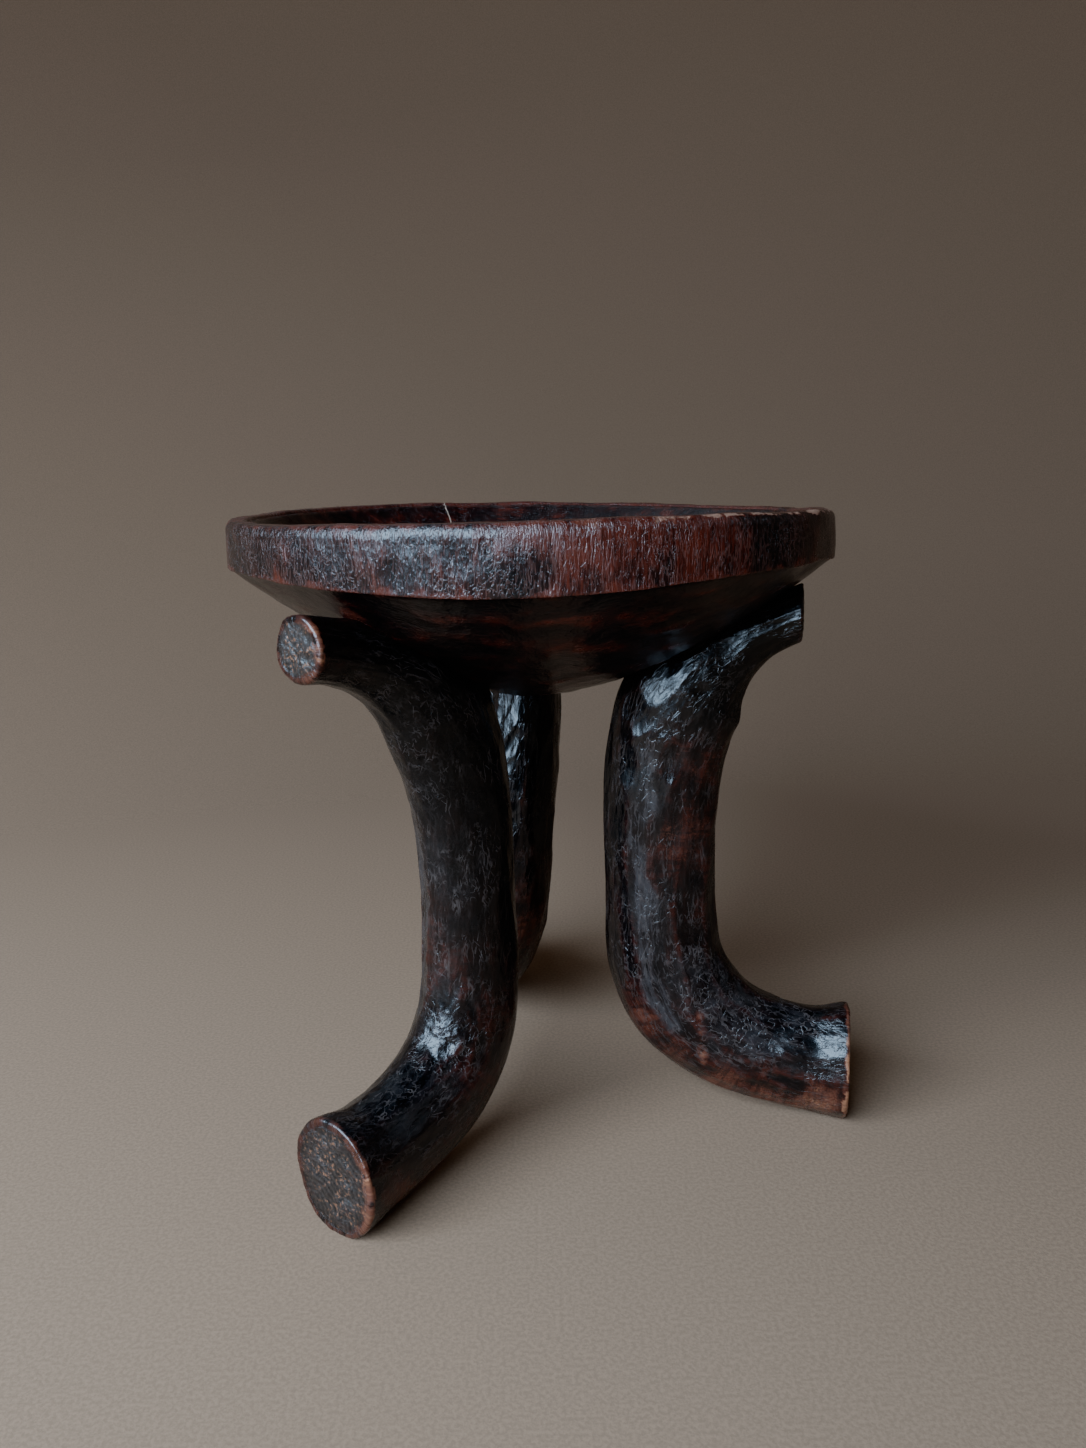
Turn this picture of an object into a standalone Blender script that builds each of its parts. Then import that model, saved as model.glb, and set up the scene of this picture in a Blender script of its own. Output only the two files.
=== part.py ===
"""Low three-legged stool with a dished round seat, carved in dark hardwood.

Metres, +Z up. The pieces are modelled round the seat's axis with the floor at z = 0, and then moved
together so that the origin lies on the floor under the middle of the stool's box.
"""

import math
from dataclasses import dataclass

import bmesh
import bpy
from mathutils import Matrix, Vector

# Seat: a round dish with an upright band round its rim
RIM_RADIUS = 0.1500
RIM_HEIGHT = 0.3232
BAND_HEIGHT = 0.0250
BOWL_DEPTH = 0.0940
UNDERSIDE_POWER = 1.75
RIM_WIDTH = 0.0115
RIM_ROUND = 0.0030
BAND_ROUND = 0.0020
RIM_ROUND_ANGLE = 60.0
BAND_ROUND_ANGLE = 60.0
DISH_DEPTH = 0.0560
DISH_POWER = 2.30

# Hand-carved waves of the rim's top and of the band's lower edge, as height and azimuth in degrees
RIM_TILT = 0.0012
RIM_TILT_AZIMUTH = 165.0
RIM_WAVE = 0.0016
RIM_WAVE_AZIMUTH = 118.0
RIM_WAVE_COUNT = 2
BAND_WAVE = 0.0030
BAND_WAVE_AZIMUTH = 85.0
BAND_WAVE_COUNT = 3

# Legs: what all three share
FOOT_WIDTH = 0.0510
FOOT_THROAT = 0.0240
FOOT_FLARE = 0.0032
FOOT_SIDE_FLARE = 0.0016
HEEL_SWELL = 0.0027
WAIST_HEIGHT = 0.1300
HEEL_SHARE = 0.50
NECK_SHARE = 0.45
STUB_SHARE = 0.90
SOLE_FLAT = 0.0015

# Right leg
RIGHT_AZIMUTH = -11.3
RIGHT_FOOT_REACH = 0.1665
RIGHT_FOOT_HEIGHT = 0.0628
RIGHT_FOOT_BEND = 0.0970
RIGHT_HEEL_BEND = 0.0500
RIGHT_SHAFT_REACH = 0.0655
RIGHT_SHAFT_DEPTH = 0.0600
RIGHT_SHAFT_WIDTH = 0.0460
RIGHT_NECK_DEPTH = 0.0640
RIGHT_NECK_DROP = 0.0110
RIGHT_STUB_BEND = 0.0790
RIGHT_STUB_ANGLE = 20.0
RIGHT_STUB_REACH = 0.1365
RIGHT_STUB_DROP = 0.0160
RIGHT_STUB_DEPTH = 0.0280
RIGHT_STUB_WIDTH = 0.0300

# Left leg, towards the front
LEFT_AZIMUTH = -128.0
LEFT_FOOT_REACH = 0.1570
LEFT_FOOT_HEIGHT = 0.0580
LEFT_FOOT_BEND = 0.1030
LEFT_HEEL_BEND = 0.0560
LEFT_SHAFT_REACH = 0.0575
LEFT_SHAFT_DEPTH = 0.0530
LEFT_SHAFT_WIDTH = 0.0440
LEFT_NECK_DEPTH = 0.0615
LEFT_STUB_BEND = 0.0900
LEFT_STUB_ANGLE = 8.0
LEFT_STUB_REACH = 0.1560
LEFT_STUB_DROP = 0.0252
LEFT_STUB_DEPTH = 0.0290
LEFT_STUB_WIDTH = 0.0290

# Rear leg, whose shaft leans sideways
REAR_AZIMUTH = 104.5
REAR_LEAN_ANGLE = -6.0
REAR_FOOT_REACH = 0.1600
REAR_FOOT_HEIGHT = 0.0620
REAR_FOOT_BEND = 0.0950
REAR_HEEL_BEND = 0.0240
REAR_SHAFT_REACH = 0.0620
REAR_SHAFT_DEPTH = 0.0570
REAR_SHAFT_WIDTH = 0.0480
REAR_NECK_DEPTH = 0.0610
REAR_NECK_DROP = 0.0060
REAR_STUB_BEND = 0.0850
REAR_STUB_ANGLE = 14.0
REAR_STUB_REACH = 0.1460
REAR_STUB_DROP = 0.0223
REAR_STUB_DEPTH = 0.0290
REAR_STUB_WIDTH = 0.0300

# Tenon on top of each leg, in a blind mortise in the seat's underside
TENON_REACH = 0.0760
TENON_DIAMETER = 0.0240
TENON_LENGTH = 0.0180
TENON_ROOT = 0.0250
JOINT_CLEARANCE = 0.0003

# Fineness of the meshes
SEAT_SEGMENTS = 64
CURVE_STEPS = 12
ROUND_STEPS = 3
LEG_SEGMENTS = 28
BEND_STEPS = 16
TENON_SEGMENTS = 32
SMOOTH_ANGLE = math.radians(40.0)
MERGE_DISTANCE = 0.00001
SAW_DISTANCE = 0.000001

# Wood
WOOD_COLOUR = (0.030, 0.014, 0.010, 1.0)
WOOD_ROUGHNESS = 0.32


@dataclass(frozen=True)
class Leg:
    """One C-shaped leg: its bearing round the seat, and the sizes that the carver gave it.

    The bearing, the sideways lean of the shaft and the rise of the stub are in degrees. A reach is
    measured from the seat's axis, and a drop from the bowl's underside straight above. A bend is the
    length over which the leg turns, measured along the named stretch.
    """

    name: str
    azimuth: float
    foot_reach: float
    foot_height: float
    foot_bend: float
    heel_bend: float
    shaft_reach: float
    shaft_depth: float
    shaft_width: float
    neck_depth: float
    stub_bend: float
    stub_rise: float
    stub_reach: float
    stub_drop: float
    stub_depth: float
    stub_width: float
    neck_drop: float = 0.0
    lean: float = 0.0


LEGS = (
    Leg(
        name="right_leg",
        azimuth=RIGHT_AZIMUTH,
        foot_reach=RIGHT_FOOT_REACH,
        foot_height=RIGHT_FOOT_HEIGHT,
        foot_bend=RIGHT_FOOT_BEND,
        heel_bend=RIGHT_HEEL_BEND,
        shaft_reach=RIGHT_SHAFT_REACH,
        shaft_depth=RIGHT_SHAFT_DEPTH,
        shaft_width=RIGHT_SHAFT_WIDTH,
        neck_depth=RIGHT_NECK_DEPTH,
        neck_drop=RIGHT_NECK_DROP,
        stub_bend=RIGHT_STUB_BEND,
        stub_rise=RIGHT_STUB_ANGLE,
        stub_reach=RIGHT_STUB_REACH,
        stub_drop=RIGHT_STUB_DROP,
        stub_depth=RIGHT_STUB_DEPTH,
        stub_width=RIGHT_STUB_WIDTH,
    ),
    Leg(
        name="left_leg",
        azimuth=LEFT_AZIMUTH,
        foot_reach=LEFT_FOOT_REACH,
        foot_height=LEFT_FOOT_HEIGHT,
        foot_bend=LEFT_FOOT_BEND,
        heel_bend=LEFT_HEEL_BEND,
        shaft_reach=LEFT_SHAFT_REACH,
        shaft_depth=LEFT_SHAFT_DEPTH,
        shaft_width=LEFT_SHAFT_WIDTH,
        neck_depth=LEFT_NECK_DEPTH,
        stub_bend=LEFT_STUB_BEND,
        stub_rise=LEFT_STUB_ANGLE,
        stub_reach=LEFT_STUB_REACH,
        stub_drop=LEFT_STUB_DROP,
        stub_depth=LEFT_STUB_DEPTH,
        stub_width=LEFT_STUB_WIDTH,
    ),
    Leg(
        name="rear_leg",
        azimuth=REAR_AZIMUTH,
        lean=REAR_LEAN_ANGLE,
        foot_reach=REAR_FOOT_REACH,
        foot_height=REAR_FOOT_HEIGHT,
        foot_bend=REAR_FOOT_BEND,
        heel_bend=REAR_HEEL_BEND,
        shaft_reach=REAR_SHAFT_REACH,
        shaft_depth=REAR_SHAFT_DEPTH,
        shaft_width=REAR_SHAFT_WIDTH,
        neck_depth=REAR_NECK_DEPTH,
        neck_drop=REAR_NECK_DROP,
        stub_bend=REAR_STUB_BEND,
        stub_rise=REAR_STUB_ANGLE,
        stub_reach=REAR_STUB_REACH,
        stub_drop=REAR_STUB_DROP,
        stub_depth=REAR_STUB_DEPTH,
        stub_width=REAR_STUB_WIDTH,
    ),
)

UPWARD = Vector((0.0, 0.0, 1.0))
CUBIC = 3
BAND_FOOT = RIM_HEIGHT - BAND_HEIGHT
UNDERSIDE_BOTTOM = RIM_HEIGHT - BOWL_DEPTH
DISH_FLOOR = RIM_HEIGHT - DISH_DEPTH


def clear_scene():
    """Remove whatever the scene holds."""
    for item in list(bpy.data.objects):
        bpy.data.objects.remove(item, do_unlink=True)


def wood(name):
    """Dark polished hardwood, one material for each piece."""
    material = bpy.data.materials.new(name)
    material.use_nodes = True
    shader = material.node_tree.nodes["Principled BSDF"]
    shader.inputs["Base Color"].default_value = WOOD_COLOUR
    shader.inputs["Roughness"].default_value = WOOD_ROUGHNESS
    shader.inputs["Metallic"].default_value = 0.0
    material.diffuse_color = WOOD_COLOUR
    return material


def add_object(name, bm, parent):
    """Turn a finished bmesh into a named object under the stool's empty."""
    bmesh.ops.recalc_face_normals(bm, faces=bm.faces)
    mesh = bpy.data.meshes.new(name)
    bm.to_mesh(mesh)
    bm.free()
    item = bpy.data.objects.new(name, mesh)
    bpy.context.scene.collection.objects.link(item)
    item.parent = parent
    return item


def add_helper(name, bm, parent):
    """A shape that only cuts or joins another one, and isn't a piece itself."""
    helper = add_object(name, bm, parent)
    helper.hide_render = True
    helper.display_type = "WIRE"
    return helper


def finish_piece(piece):
    """Give a piece its wood and smooth its round faces."""
    piece.data.materials.append(wood(piece.name + "_wood"))
    piece.data.shade_smooth()
    piece.data.set_sharp_from_angle(angle=SMOOTH_ANGLE)


def boolean(piece, operation, helper):
    """Cut a helper from a piece, or join it on."""
    modifier = piece.modifiers.new(helper.name, "BOOLEAN")
    modifier.operation = operation
    modifier.solver = "EXACT"
    modifier.object = helper


def underside_height(reach):
    """Height of the bowl's underside at a distance from the seat's axis."""
    share = min(reach / RIM_RADIUS, 1.0)
    return UNDERSIDE_BOTTOM + (BAND_FOOT - UNDERSIDE_BOTTOM) * share ** UNDERSIDE_POWER


def dish_height(reach):
    """Height of the dish's upper side at a distance from the seat's axis."""
    share = reach / (RIM_RADIUS - RIM_WIDTH)
    return DISH_FLOOR + DISH_DEPTH * share ** DISH_POWER


def carved_lift(reach, height, azimuth):
    """How far the carver's uneven rim lifts a point of the seat."""
    top = RIM_TILT * math.cos(azimuth - math.radians(RIM_TILT_AZIMUTH))
    top += RIM_WAVE * math.cos(RIM_WAVE_COUNT * (azimuth - math.radians(RIM_WAVE_AZIMUTH)))
    low = BAND_WAVE * math.cos(BAND_WAVE_COUNT * (azimuth - math.radians(BAND_WAVE_AZIMUTH)))
    share = min(max((height - BAND_FOOT) / BAND_HEIGHT, 0.0), 1.0)
    return (share * top + (1.0 - share) * low) * (reach / RIM_RADIUS) ** 2


def arc(centre, radius, start, end):
    """Points of a round edge in the seat's profile, with angles in degrees."""
    points = []
    for step in range(ROUND_STEPS + 1):
        angle = math.radians(start + (end - start) * step / ROUND_STEPS)
        points.append((centre[0] + radius * math.cos(angle), centre[1] + radius * math.sin(angle)))
    return points


def outer_profile(grow):
    """The seat's outer side from the bottom of the bowl to the rim, grown outwards by a clearance."""
    points = []
    for step in range(CURVE_STEPS):
        reach = (RIM_RADIUS - BAND_ROUND) * step / CURVE_STEPS
        points.append((reach, underside_height(reach) - grow))
    corner = (RIM_RADIUS - BAND_ROUND + grow, underside_height(RIM_RADIUS - BAND_ROUND) + BAND_ROUND - grow)
    points += arc(corner, BAND_ROUND, -BAND_ROUND_ANGLE, 0.0)
    return points


def seat_profile():
    """The whole section of the dish, from the bottom of the bowl round to the dish's floor."""
    points = outer_profile(0.0)
    round_height = RIM_HEIGHT - RIM_ROUND
    points += arc((RIM_RADIUS - RIM_ROUND, round_height), RIM_ROUND, 0.0, 90.0)
    inside = RIM_RADIUS - RIM_WIDTH
    points += arc((inside + RIM_ROUND, round_height), RIM_ROUND, 90.0, 90.0 + RIM_ROUND_ANGLE)
    for step in range(1, CURVE_STEPS + 1):
        reach = inside * (1.0 - step / CURVE_STEPS)
        points.append((reach, dish_height(reach)))
    return points


def cutter_profile():
    """The seat's outer side with its clearance, closed by a lid above the stubs."""
    points = outer_profile(JOINT_CLEARANCE)
    points.append((RIM_RADIUS + JOINT_CLEARANCE, RIM_HEIGHT))
    points.append((0.0, RIM_HEIGHT))
    return points


def turned(profile):
    """Turn a profile round the seat's axis and give it the carver's unevenness."""
    bm = bmesh.new()
    verts = [bm.verts.new((reach, 0.0, height)) for reach, height in profile]
    edges = [bm.edges.new(pair) for pair in zip(verts, verts[1:])]
    bmesh.ops.spin(
        bm, geom=verts + edges, cent=(0.0, 0.0, 0.0), axis=(0.0, 0.0, 1.0),
        angle=2.0 * math.pi, steps=SEAT_SEGMENTS, use_merge=True,
    )
    bmesh.ops.remove_doubles(bm, verts=bm.verts, dist=MERGE_DISTANCE)
    for vert in bm.verts:
        reach = math.hypot(vert.co.x, vert.co.y)
        vert.co.z += carved_lift(reach, vert.co.z, math.atan2(vert.co.y, vert.co.x))
    return bm


def leg_axes(leg):
    """Directions of a leg: straight out from the seat's axis, and sideways."""
    azimuth = math.radians(leg.azimuth)
    outward = Vector((math.cos(azimuth), math.sin(azimuth), 0.0))
    aside = Vector((-math.sin(azimuth), math.cos(azimuth), 0.0))
    return outward, aside


def leg_place(leg, reach, height):
    """Point of a leg's middle plane, which leans sideways about the waist."""
    outward, aside = leg_axes(leg)
    sideways = (height - WAIST_HEIGHT) * math.tan(math.radians(leg.lean))
    return outward * reach + aside * sideways + UPWARD * height


def peg(leg, clearance):
    """The round tenon on a leg's middle plane, or with a clearance the mortise that takes it."""
    base = underside_height(TENON_REACH)
    low = base - TENON_ROOT
    high = base + TENON_LENGTH + clearance
    place = leg_place(leg, TENON_REACH, base)
    place.z = (low + high) / 2.0
    radius = TENON_DIAMETER / 2.0 + clearance
    bm = bmesh.new()
    bmesh.ops.create_cone(
        bm, cap_ends=True, segments=TENON_SEGMENTS, radius1=radius, radius2=radius,
        depth=high - low, matrix=Matrix.Translation(place),
    )
    return bm


def bezier(points, share):
    """Point of a cubic curve in the leg's plane."""
    rest = 1.0 - share
    weights = (rest ** 3, CUBIC * rest ** 2 * share, CUBIC * rest * share ** 2, share ** 3)
    return sum((weight * point for weight, point in zip(weights, points)), Vector((0.0, 0.0)))


def bezier_slope(points, share):
    """Direction of a cubic curve in the leg's plane."""
    rest = 1.0 - share
    weights = (rest ** 2, 2.0 * rest * share, share ** 2)
    steps = [after - before for before, after in zip(points, points[1:])]
    return sum((weight * step for weight, step in zip(weights, steps)), Vector((0.0, 0.0))).normalized()


def leg_curves(leg):
    """Centre line of a leg as reach and height: from the foot to the waist, then on to the stub."""
    foot = Vector((leg.foot_reach, (leg.foot_height - SOLE_FLAT) / 2.0))
    waist = Vector((leg.shaft_reach, WAIST_HEIGHT))
    rise = Vector((math.cos(math.radians(leg.stub_rise)), math.sin(math.radians(leg.stub_rise))))
    sawn = Vector((leg.stub_reach, underside_height(leg.stub_reach) - leg.stub_drop))
    stub = sawn + rise * leg.stub_depth / 2.0
    neck = Vector((leg.shaft_reach, underside_height(leg.shaft_reach) - leg.neck_drop))
    lower = (foot, foot - Vector((leg.foot_bend, 0.0)), waist - Vector((0.0, leg.heel_bend)), waist)
    upper = (waist, neck, stub - rise * leg.stub_bend, stub)
    return lower, upper


def eased(size_a, size_b, share):
    """Blend two sizes smoothly."""
    held = min(max(share, 0.0), 1.0)
    return size_a + (size_b - size_a) * (held * held * (3.0 - 2.0 * held))


def leg_section(leg, upper, share):
    """Half depth and half width of a leg, in its stretch above or below the waist."""
    foot = Vector((leg.foot_height + SOLE_FLAT, FOOT_WIDTH)) / 2.0
    throat = foot - Vector((FOOT_FLARE, FOOT_SIDE_FLARE))
    shaft = Vector((leg.shaft_depth, leg.shaft_width)) / 2.0
    heel = shaft + Vector((HEEL_SWELL, HEEL_SWELL))
    neck = Vector((leg.neck_depth, leg.shaft_width)) / 2.0
    stub = Vector((leg.stub_depth, leg.stub_width)) / 2.0
    if upper and share < NECK_SHARE:
        return eased(shaft, neck, share / NECK_SHARE)
    if upper:
        return eased(neck, stub, (share - NECK_SHARE) / (STUB_SHARE - NECK_SHARE))
    throat_share = FOOT_THROAT / (CUBIC * leg.foot_bend)
    if share < throat_share:
        return eased(foot, throat, share / throat_share)
    if share < HEEL_SHARE:
        return eased(throat, heel, (share - throat_share) / (HEEL_SHARE - throat_share))
    return eased(heel, shaft, (share - HEEL_SHARE) / (1.0 - HEEL_SHARE))


def leg_body(leg):
    """Sweep the leg's section along its centre line, then saw the stub's end and flatten the sole."""
    outward, aside = leg_axes(leg)
    bm = bmesh.new()
    rings = []
    for upper, curve in enumerate(leg_curves(leg)):
        for step in range(upper, BEND_STEPS + 1):
            share = step / BEND_STEPS
            slope = bezier_slope(curve, share)
            depth, width = leg_section(leg, upper, share)
            across = outward * slope.y - UPWARD * slope.x
            along = outward * slope.x + UPWARD * slope.y
            frame = Matrix((across * depth, aside * width, along)).transposed().to_4x4()
            frame.translation = leg_place(leg, *bezier(curve, share))
            capped = not rings or (upper and step == BEND_STEPS)
            ring = bmesh.ops.create_circle(
                bm, cap_ends=bool(capped), radius=1.0, segments=LEG_SEGMENTS, matrix=frame,
            )
            verts = set(ring["verts"])
            rings.append([edge for edge in bm.edges if verts.issuperset(edge.verts)])
    for before, after in zip(rings, rings[1:]):
        bmesh.ops.bridge_loops(bm, edges=before + after)
    saw(bm, outward * leg.stub_reach, outward, WAIST_HEIGHT)
    saw(bm, Vector((0.0, 0.0, 0.0)), -UPWARD, -leg.foot_height)
    return bm


def saw(bm, point, normal, above):
    """Cut off what lies past a plane, among the faces above a height, and close the cut."""
    chosen = [face for face in bm.faces if face.calc_center_median().z > above]
    geom = list({item for face in chosen for item in (*face.verts, *face.edges)}) + chosen
    cut = bmesh.ops.bisect_plane(
        bm, geom=geom, dist=SAW_DISTANCE, plane_co=point, plane_no=normal, clear_outer=True,
    )
    edges = [item for item in cut["geom_cut"] if isinstance(item, bmesh.types.BMEdge)]
    bmesh.ops.holes_fill(bm, edges=edges)


def build_seat(parent):
    """The dish, with a blind mortise over each leg."""
    seat = add_object("seat_dish", turned(seat_profile()), parent)
    finish_piece(seat)
    for leg in LEGS:
        hole = add_helper(leg.name + "_mortise", peg(leg, JOINT_CLEARANCE), parent)
        boolean(seat, "DIFFERENCE", hole)
    return seat


def build_leg(leg, cope, parent):
    """A leg with its top coped to the bowl's underside and a tenon standing up from the cope."""
    piece = add_object(leg.name, leg_body(leg), parent)
    finish_piece(piece)
    boolean(piece, "DIFFERENCE", cope)
    boolean(piece, "UNION", add_helper(leg.name + "_tenon", peg(leg, 0.0), parent))
    return piece


def box_middle(pieces):
    """Middle of the box round the finished pieces, on the floor."""
    bpy.context.view_layer.update()
    depsgraph = bpy.context.evaluated_depsgraph_get()
    corners = []
    for piece in pieces:
        shape = piece.evaluated_get(depsgraph)
        mesh = shape.to_mesh()
        corners += [vert.co.copy() for vert in mesh.vertices]
        shape.to_mesh_clear()
    xs = [corner.x for corner in corners]
    ys = [corner.y for corner in corners]
    return Vector(((min(xs) + max(xs)) / 2.0, (min(ys) + max(ys)) / 2.0, 0.0))


def main():
    """Build the stool and put its origin under its middle."""
    clear_scene()
    stool = bpy.data.objects.new("stool", None)
    bpy.context.scene.collection.objects.link(stool)
    cope = add_helper("bowl_cope", turned(cutter_profile()), stool)
    pieces = [build_seat(stool)]
    for leg in LEGS:
        pieces.append(build_leg(leg, cope, stool))
    stool.location = -box_middle(pieces)


main()
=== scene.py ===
"""Dressed model of a low three-legged stool, carved in dark hardwood and blackened by smoke and use.

Metres, +Z up. Each carved piece is a skin of rows and columns that is shaped round the seat's axis, cut
by the strokes of an adze, and then moved to where the frame has that axis.
"""

import logging
import math
from dataclasses import dataclass, field, replace
from enum import Enum, IntEnum

import bmesh
import bpy
import numpy as np
from mathutils import Matrix, Vector


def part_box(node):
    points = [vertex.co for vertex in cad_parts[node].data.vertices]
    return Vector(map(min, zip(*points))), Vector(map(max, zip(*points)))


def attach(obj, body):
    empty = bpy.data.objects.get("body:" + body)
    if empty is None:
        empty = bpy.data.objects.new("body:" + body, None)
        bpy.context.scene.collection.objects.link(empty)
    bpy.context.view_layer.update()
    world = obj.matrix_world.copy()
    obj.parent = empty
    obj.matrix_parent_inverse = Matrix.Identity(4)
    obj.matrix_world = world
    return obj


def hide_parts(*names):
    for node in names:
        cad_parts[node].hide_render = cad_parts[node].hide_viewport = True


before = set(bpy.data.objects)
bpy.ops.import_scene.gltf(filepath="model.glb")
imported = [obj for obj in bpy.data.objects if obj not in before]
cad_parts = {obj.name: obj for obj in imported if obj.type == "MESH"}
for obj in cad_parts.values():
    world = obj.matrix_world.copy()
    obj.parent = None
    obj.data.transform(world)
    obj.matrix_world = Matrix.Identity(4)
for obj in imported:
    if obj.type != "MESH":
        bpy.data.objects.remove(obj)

LOG = logging.getLogger("stool")
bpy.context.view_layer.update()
Colour = tuple[float, float, float, float]
Socket = bpy.types.NodeSocket
UP = np.array([0.0, 0.0, 1.0])
OCTAVE_WAVES = 7
OCTAVE_FADE = 0.55
STROKE_JITTER = 0.5
STROKE_SIZES = (0.7, 1.3)
STROKE_REACH = 1.5
CREST_BLUR = 10
SPOT_WANDER = 0.004
SPOT_WAVE = 0.022
SPOT_FULL_WANDER = 0.030
WELD_DISTANCE = 0.000002
FINE_OCTAVES = 4
MIDDLE = 0.5
NICK_SHORTEST = 0.3
NICK_GROWTH = 0.8
NICK_SIDE_CORE = 0.2
NICK_END_CORE = 0.5
LINE_CORE = 0.3
LINE_DETAIL = 1.5
DINT_SWAY_SCALE = 0.7
BROAD_WEAR = 0.55
PATCH_WEAR = 0.45
CREST_WEAR = 0.14
RUB_WEAR = 0.42
SOOT_WEAR = -0.40
GRIT_RUB = 0.70
PATCH_RUB = 0.55
GRIT_MOTTLE = 0.12
FACE_SHARE = 0.02
FACE_SHIFT = 1.0
RING_SHIFT = (0.021, 0.016, 0.0)
RING_SCALE = 95.0
RING_WANDER = 2.5
WINDOW_BLUE = (0.53, 0.75, 1.0)
WALL_BLUE = (0.62, 0.82, 1.0)


class Slot(Enum):
    """Names of the material slots for the seat and the legs, which nothing in this script uses."""

    SEAT = "seat_wood"
    LEG = "leg_wood"


class Layer(Enum):
    """What each point of a carved skin carries for its finish."""

    LAY = "lay"
    FLAT = "flat"
    CREST = "crest"
    RUB = "rub"
    ENDS = "ends"
    SOOT = "soot"
    SWEEP = "sweep"
    # Painted pale sheen: colour that stands in for the glossy reflection of the light on facets and worn
    # places.
    HAZE = "painted_sheen"


class LegSeed(IntEnum):
    """What is added to a leg's own seed for each of its random draws."""

    CHIPS = 41
    WAVES = 42
    SAWN = 43
    EDGE = 44
    SPOTS = 45


def seat_axis() -> np.ndarray:
    """Place of the seat's upright axis in the frame, at floor height."""
    low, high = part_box("seat_dish")
    return np.array([(low.x + high.x) / 2.0, (low.y + high.y) / 2.0, 0.0])


def smooth_step(share: np.ndarray) -> np.ndarray:
    """Ease a share between 0 and 1."""
    held = np.clip(share, 0.0, 1.0)
    return held * held * (3.0 - 2.0 * held)


def distance_along(points: np.ndarray) -> np.ndarray:
    """Distance of each point of a line from its first one, along the line."""
    return np.concatenate([[0.0], np.cumsum(np.linalg.norm(np.diff(points, axis=0), axis=1))])


def ripple(places: np.ndarray, wavelength: float, seed: int, octaves: int = 3) -> np.ndarray:
    """Smooth unevenness made of plane waves, of about unit spread.

    Args:
        places: Points that the waves run over, in metres, with the coordinates on the last axis.
        wavelength: Length of the longest waves.
        seed: Seed of the waves' directions and phases.
        octaves: How many times the waves are halved in length and size.

    Returns:
        One value for each point.
    """
    chance = np.random.default_rng(seed)
    total = np.zeros(places.shape[:-1])
    power = 0.0
    for octave in range(octaves):
        size = OCTAVE_FADE ** octave
        for _ in range(OCTAVE_WAVES):
            heading = chance.normal(size=places.shape[-1])
            heading *= 2.0 * math.pi * 2.0 ** octave / (wavelength * np.linalg.norm(heading))
            total += size * np.cos(places @ heading + chance.uniform(0.0, 2.0 * math.pi))
            power += size * size / 2.0
    return total / math.sqrt(power)


@dataclass(frozen=True)
class AdzeWork:
    """A field of adze strokes, each a shallow hollow that leaves a facet with crisp ridges round it.

    Width, length and depth are those of half a stroke. Pitches are the spacing across and along, slant is
    the strokes' angle to the length of the piece and turn is how far they stray from it, in degrees, and
    kept is the share of them made. A field may be held to the bearings within a spread of a facing, and
    to a stretch between a start and an end along the piece.
    """

    seed: int
    width: float
    length: float
    depth: float
    across_pitch: float
    along_pitch: float
    turn: float = 8.0
    kept: float = 1.0
    slant: float = 0.0
    facing: float = 0.0
    spread: float = 360.0
    start: float = -1.0
    end: float = 1.0

    def crosswise(self) -> "AdzeWork":
        """The same strokes, running round the piece and not along it."""
        return replace(self, width=self.length, length=self.width)

    def cut(self, across: np.ndarray, along: np.ndarray, girth: float) -> np.ndarray:
        """Depth of the strokes at each point, as a height that is zero or negative.

        Args:
            across: Distance round the piece, which closes on itself after the girth.
            along: Distance along the piece.
            girth: Distance once round the piece.

        Returns:
            The height of the cut surface over the uncut one.
        """
        chance = np.random.default_rng(self.seed)
        height = np.zeros(across.shape)
        columns = max(3, round(girth / self.across_pitch))
        rows = int((along.max() - along.min()) / self.along_pitch) + 2
        for row in range(rows):
            for column in range(columns):
                jitter = chance.uniform(-STROKE_JITTER, STROKE_JITTER, 2)
                scale = chance.uniform(*STROKE_SIZES, 3)
                turn = math.radians(self.slant + chance.uniform(-self.turn, self.turn))
                middle_across = girth * (column + 0.5 * (row % 2) + jitter[0]) / columns
                middle_along = along.min() + self.along_pitch * (row + jitter[1])
                bearing = 360.0 * middle_across / girth - self.facing
                outside = abs((bearing + 180.0) % 360.0 - 180.0) > self.spread
                if chance.random() > self.kept or outside or not self.start < middle_along < self.end:
                    continue
                near = np.abs(along - middle_along) < STROKE_REACH * self.length * scale[1]
                side = (across[near] - middle_across + girth / 2.0) % girth - girth / 2.0
                ahead = along[near] - middle_along
                x = (side * math.cos(turn) - ahead * math.sin(turn)) / (self.width * scale[0])
                y = (side * math.sin(turn) + ahead * math.cos(turn)) / (self.length * scale[1])
                stroke = self.depth * scale[2] * (x * x + y * y - 1.0)
                height[near] = np.minimum(height[near], stroke)
        return height


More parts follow.
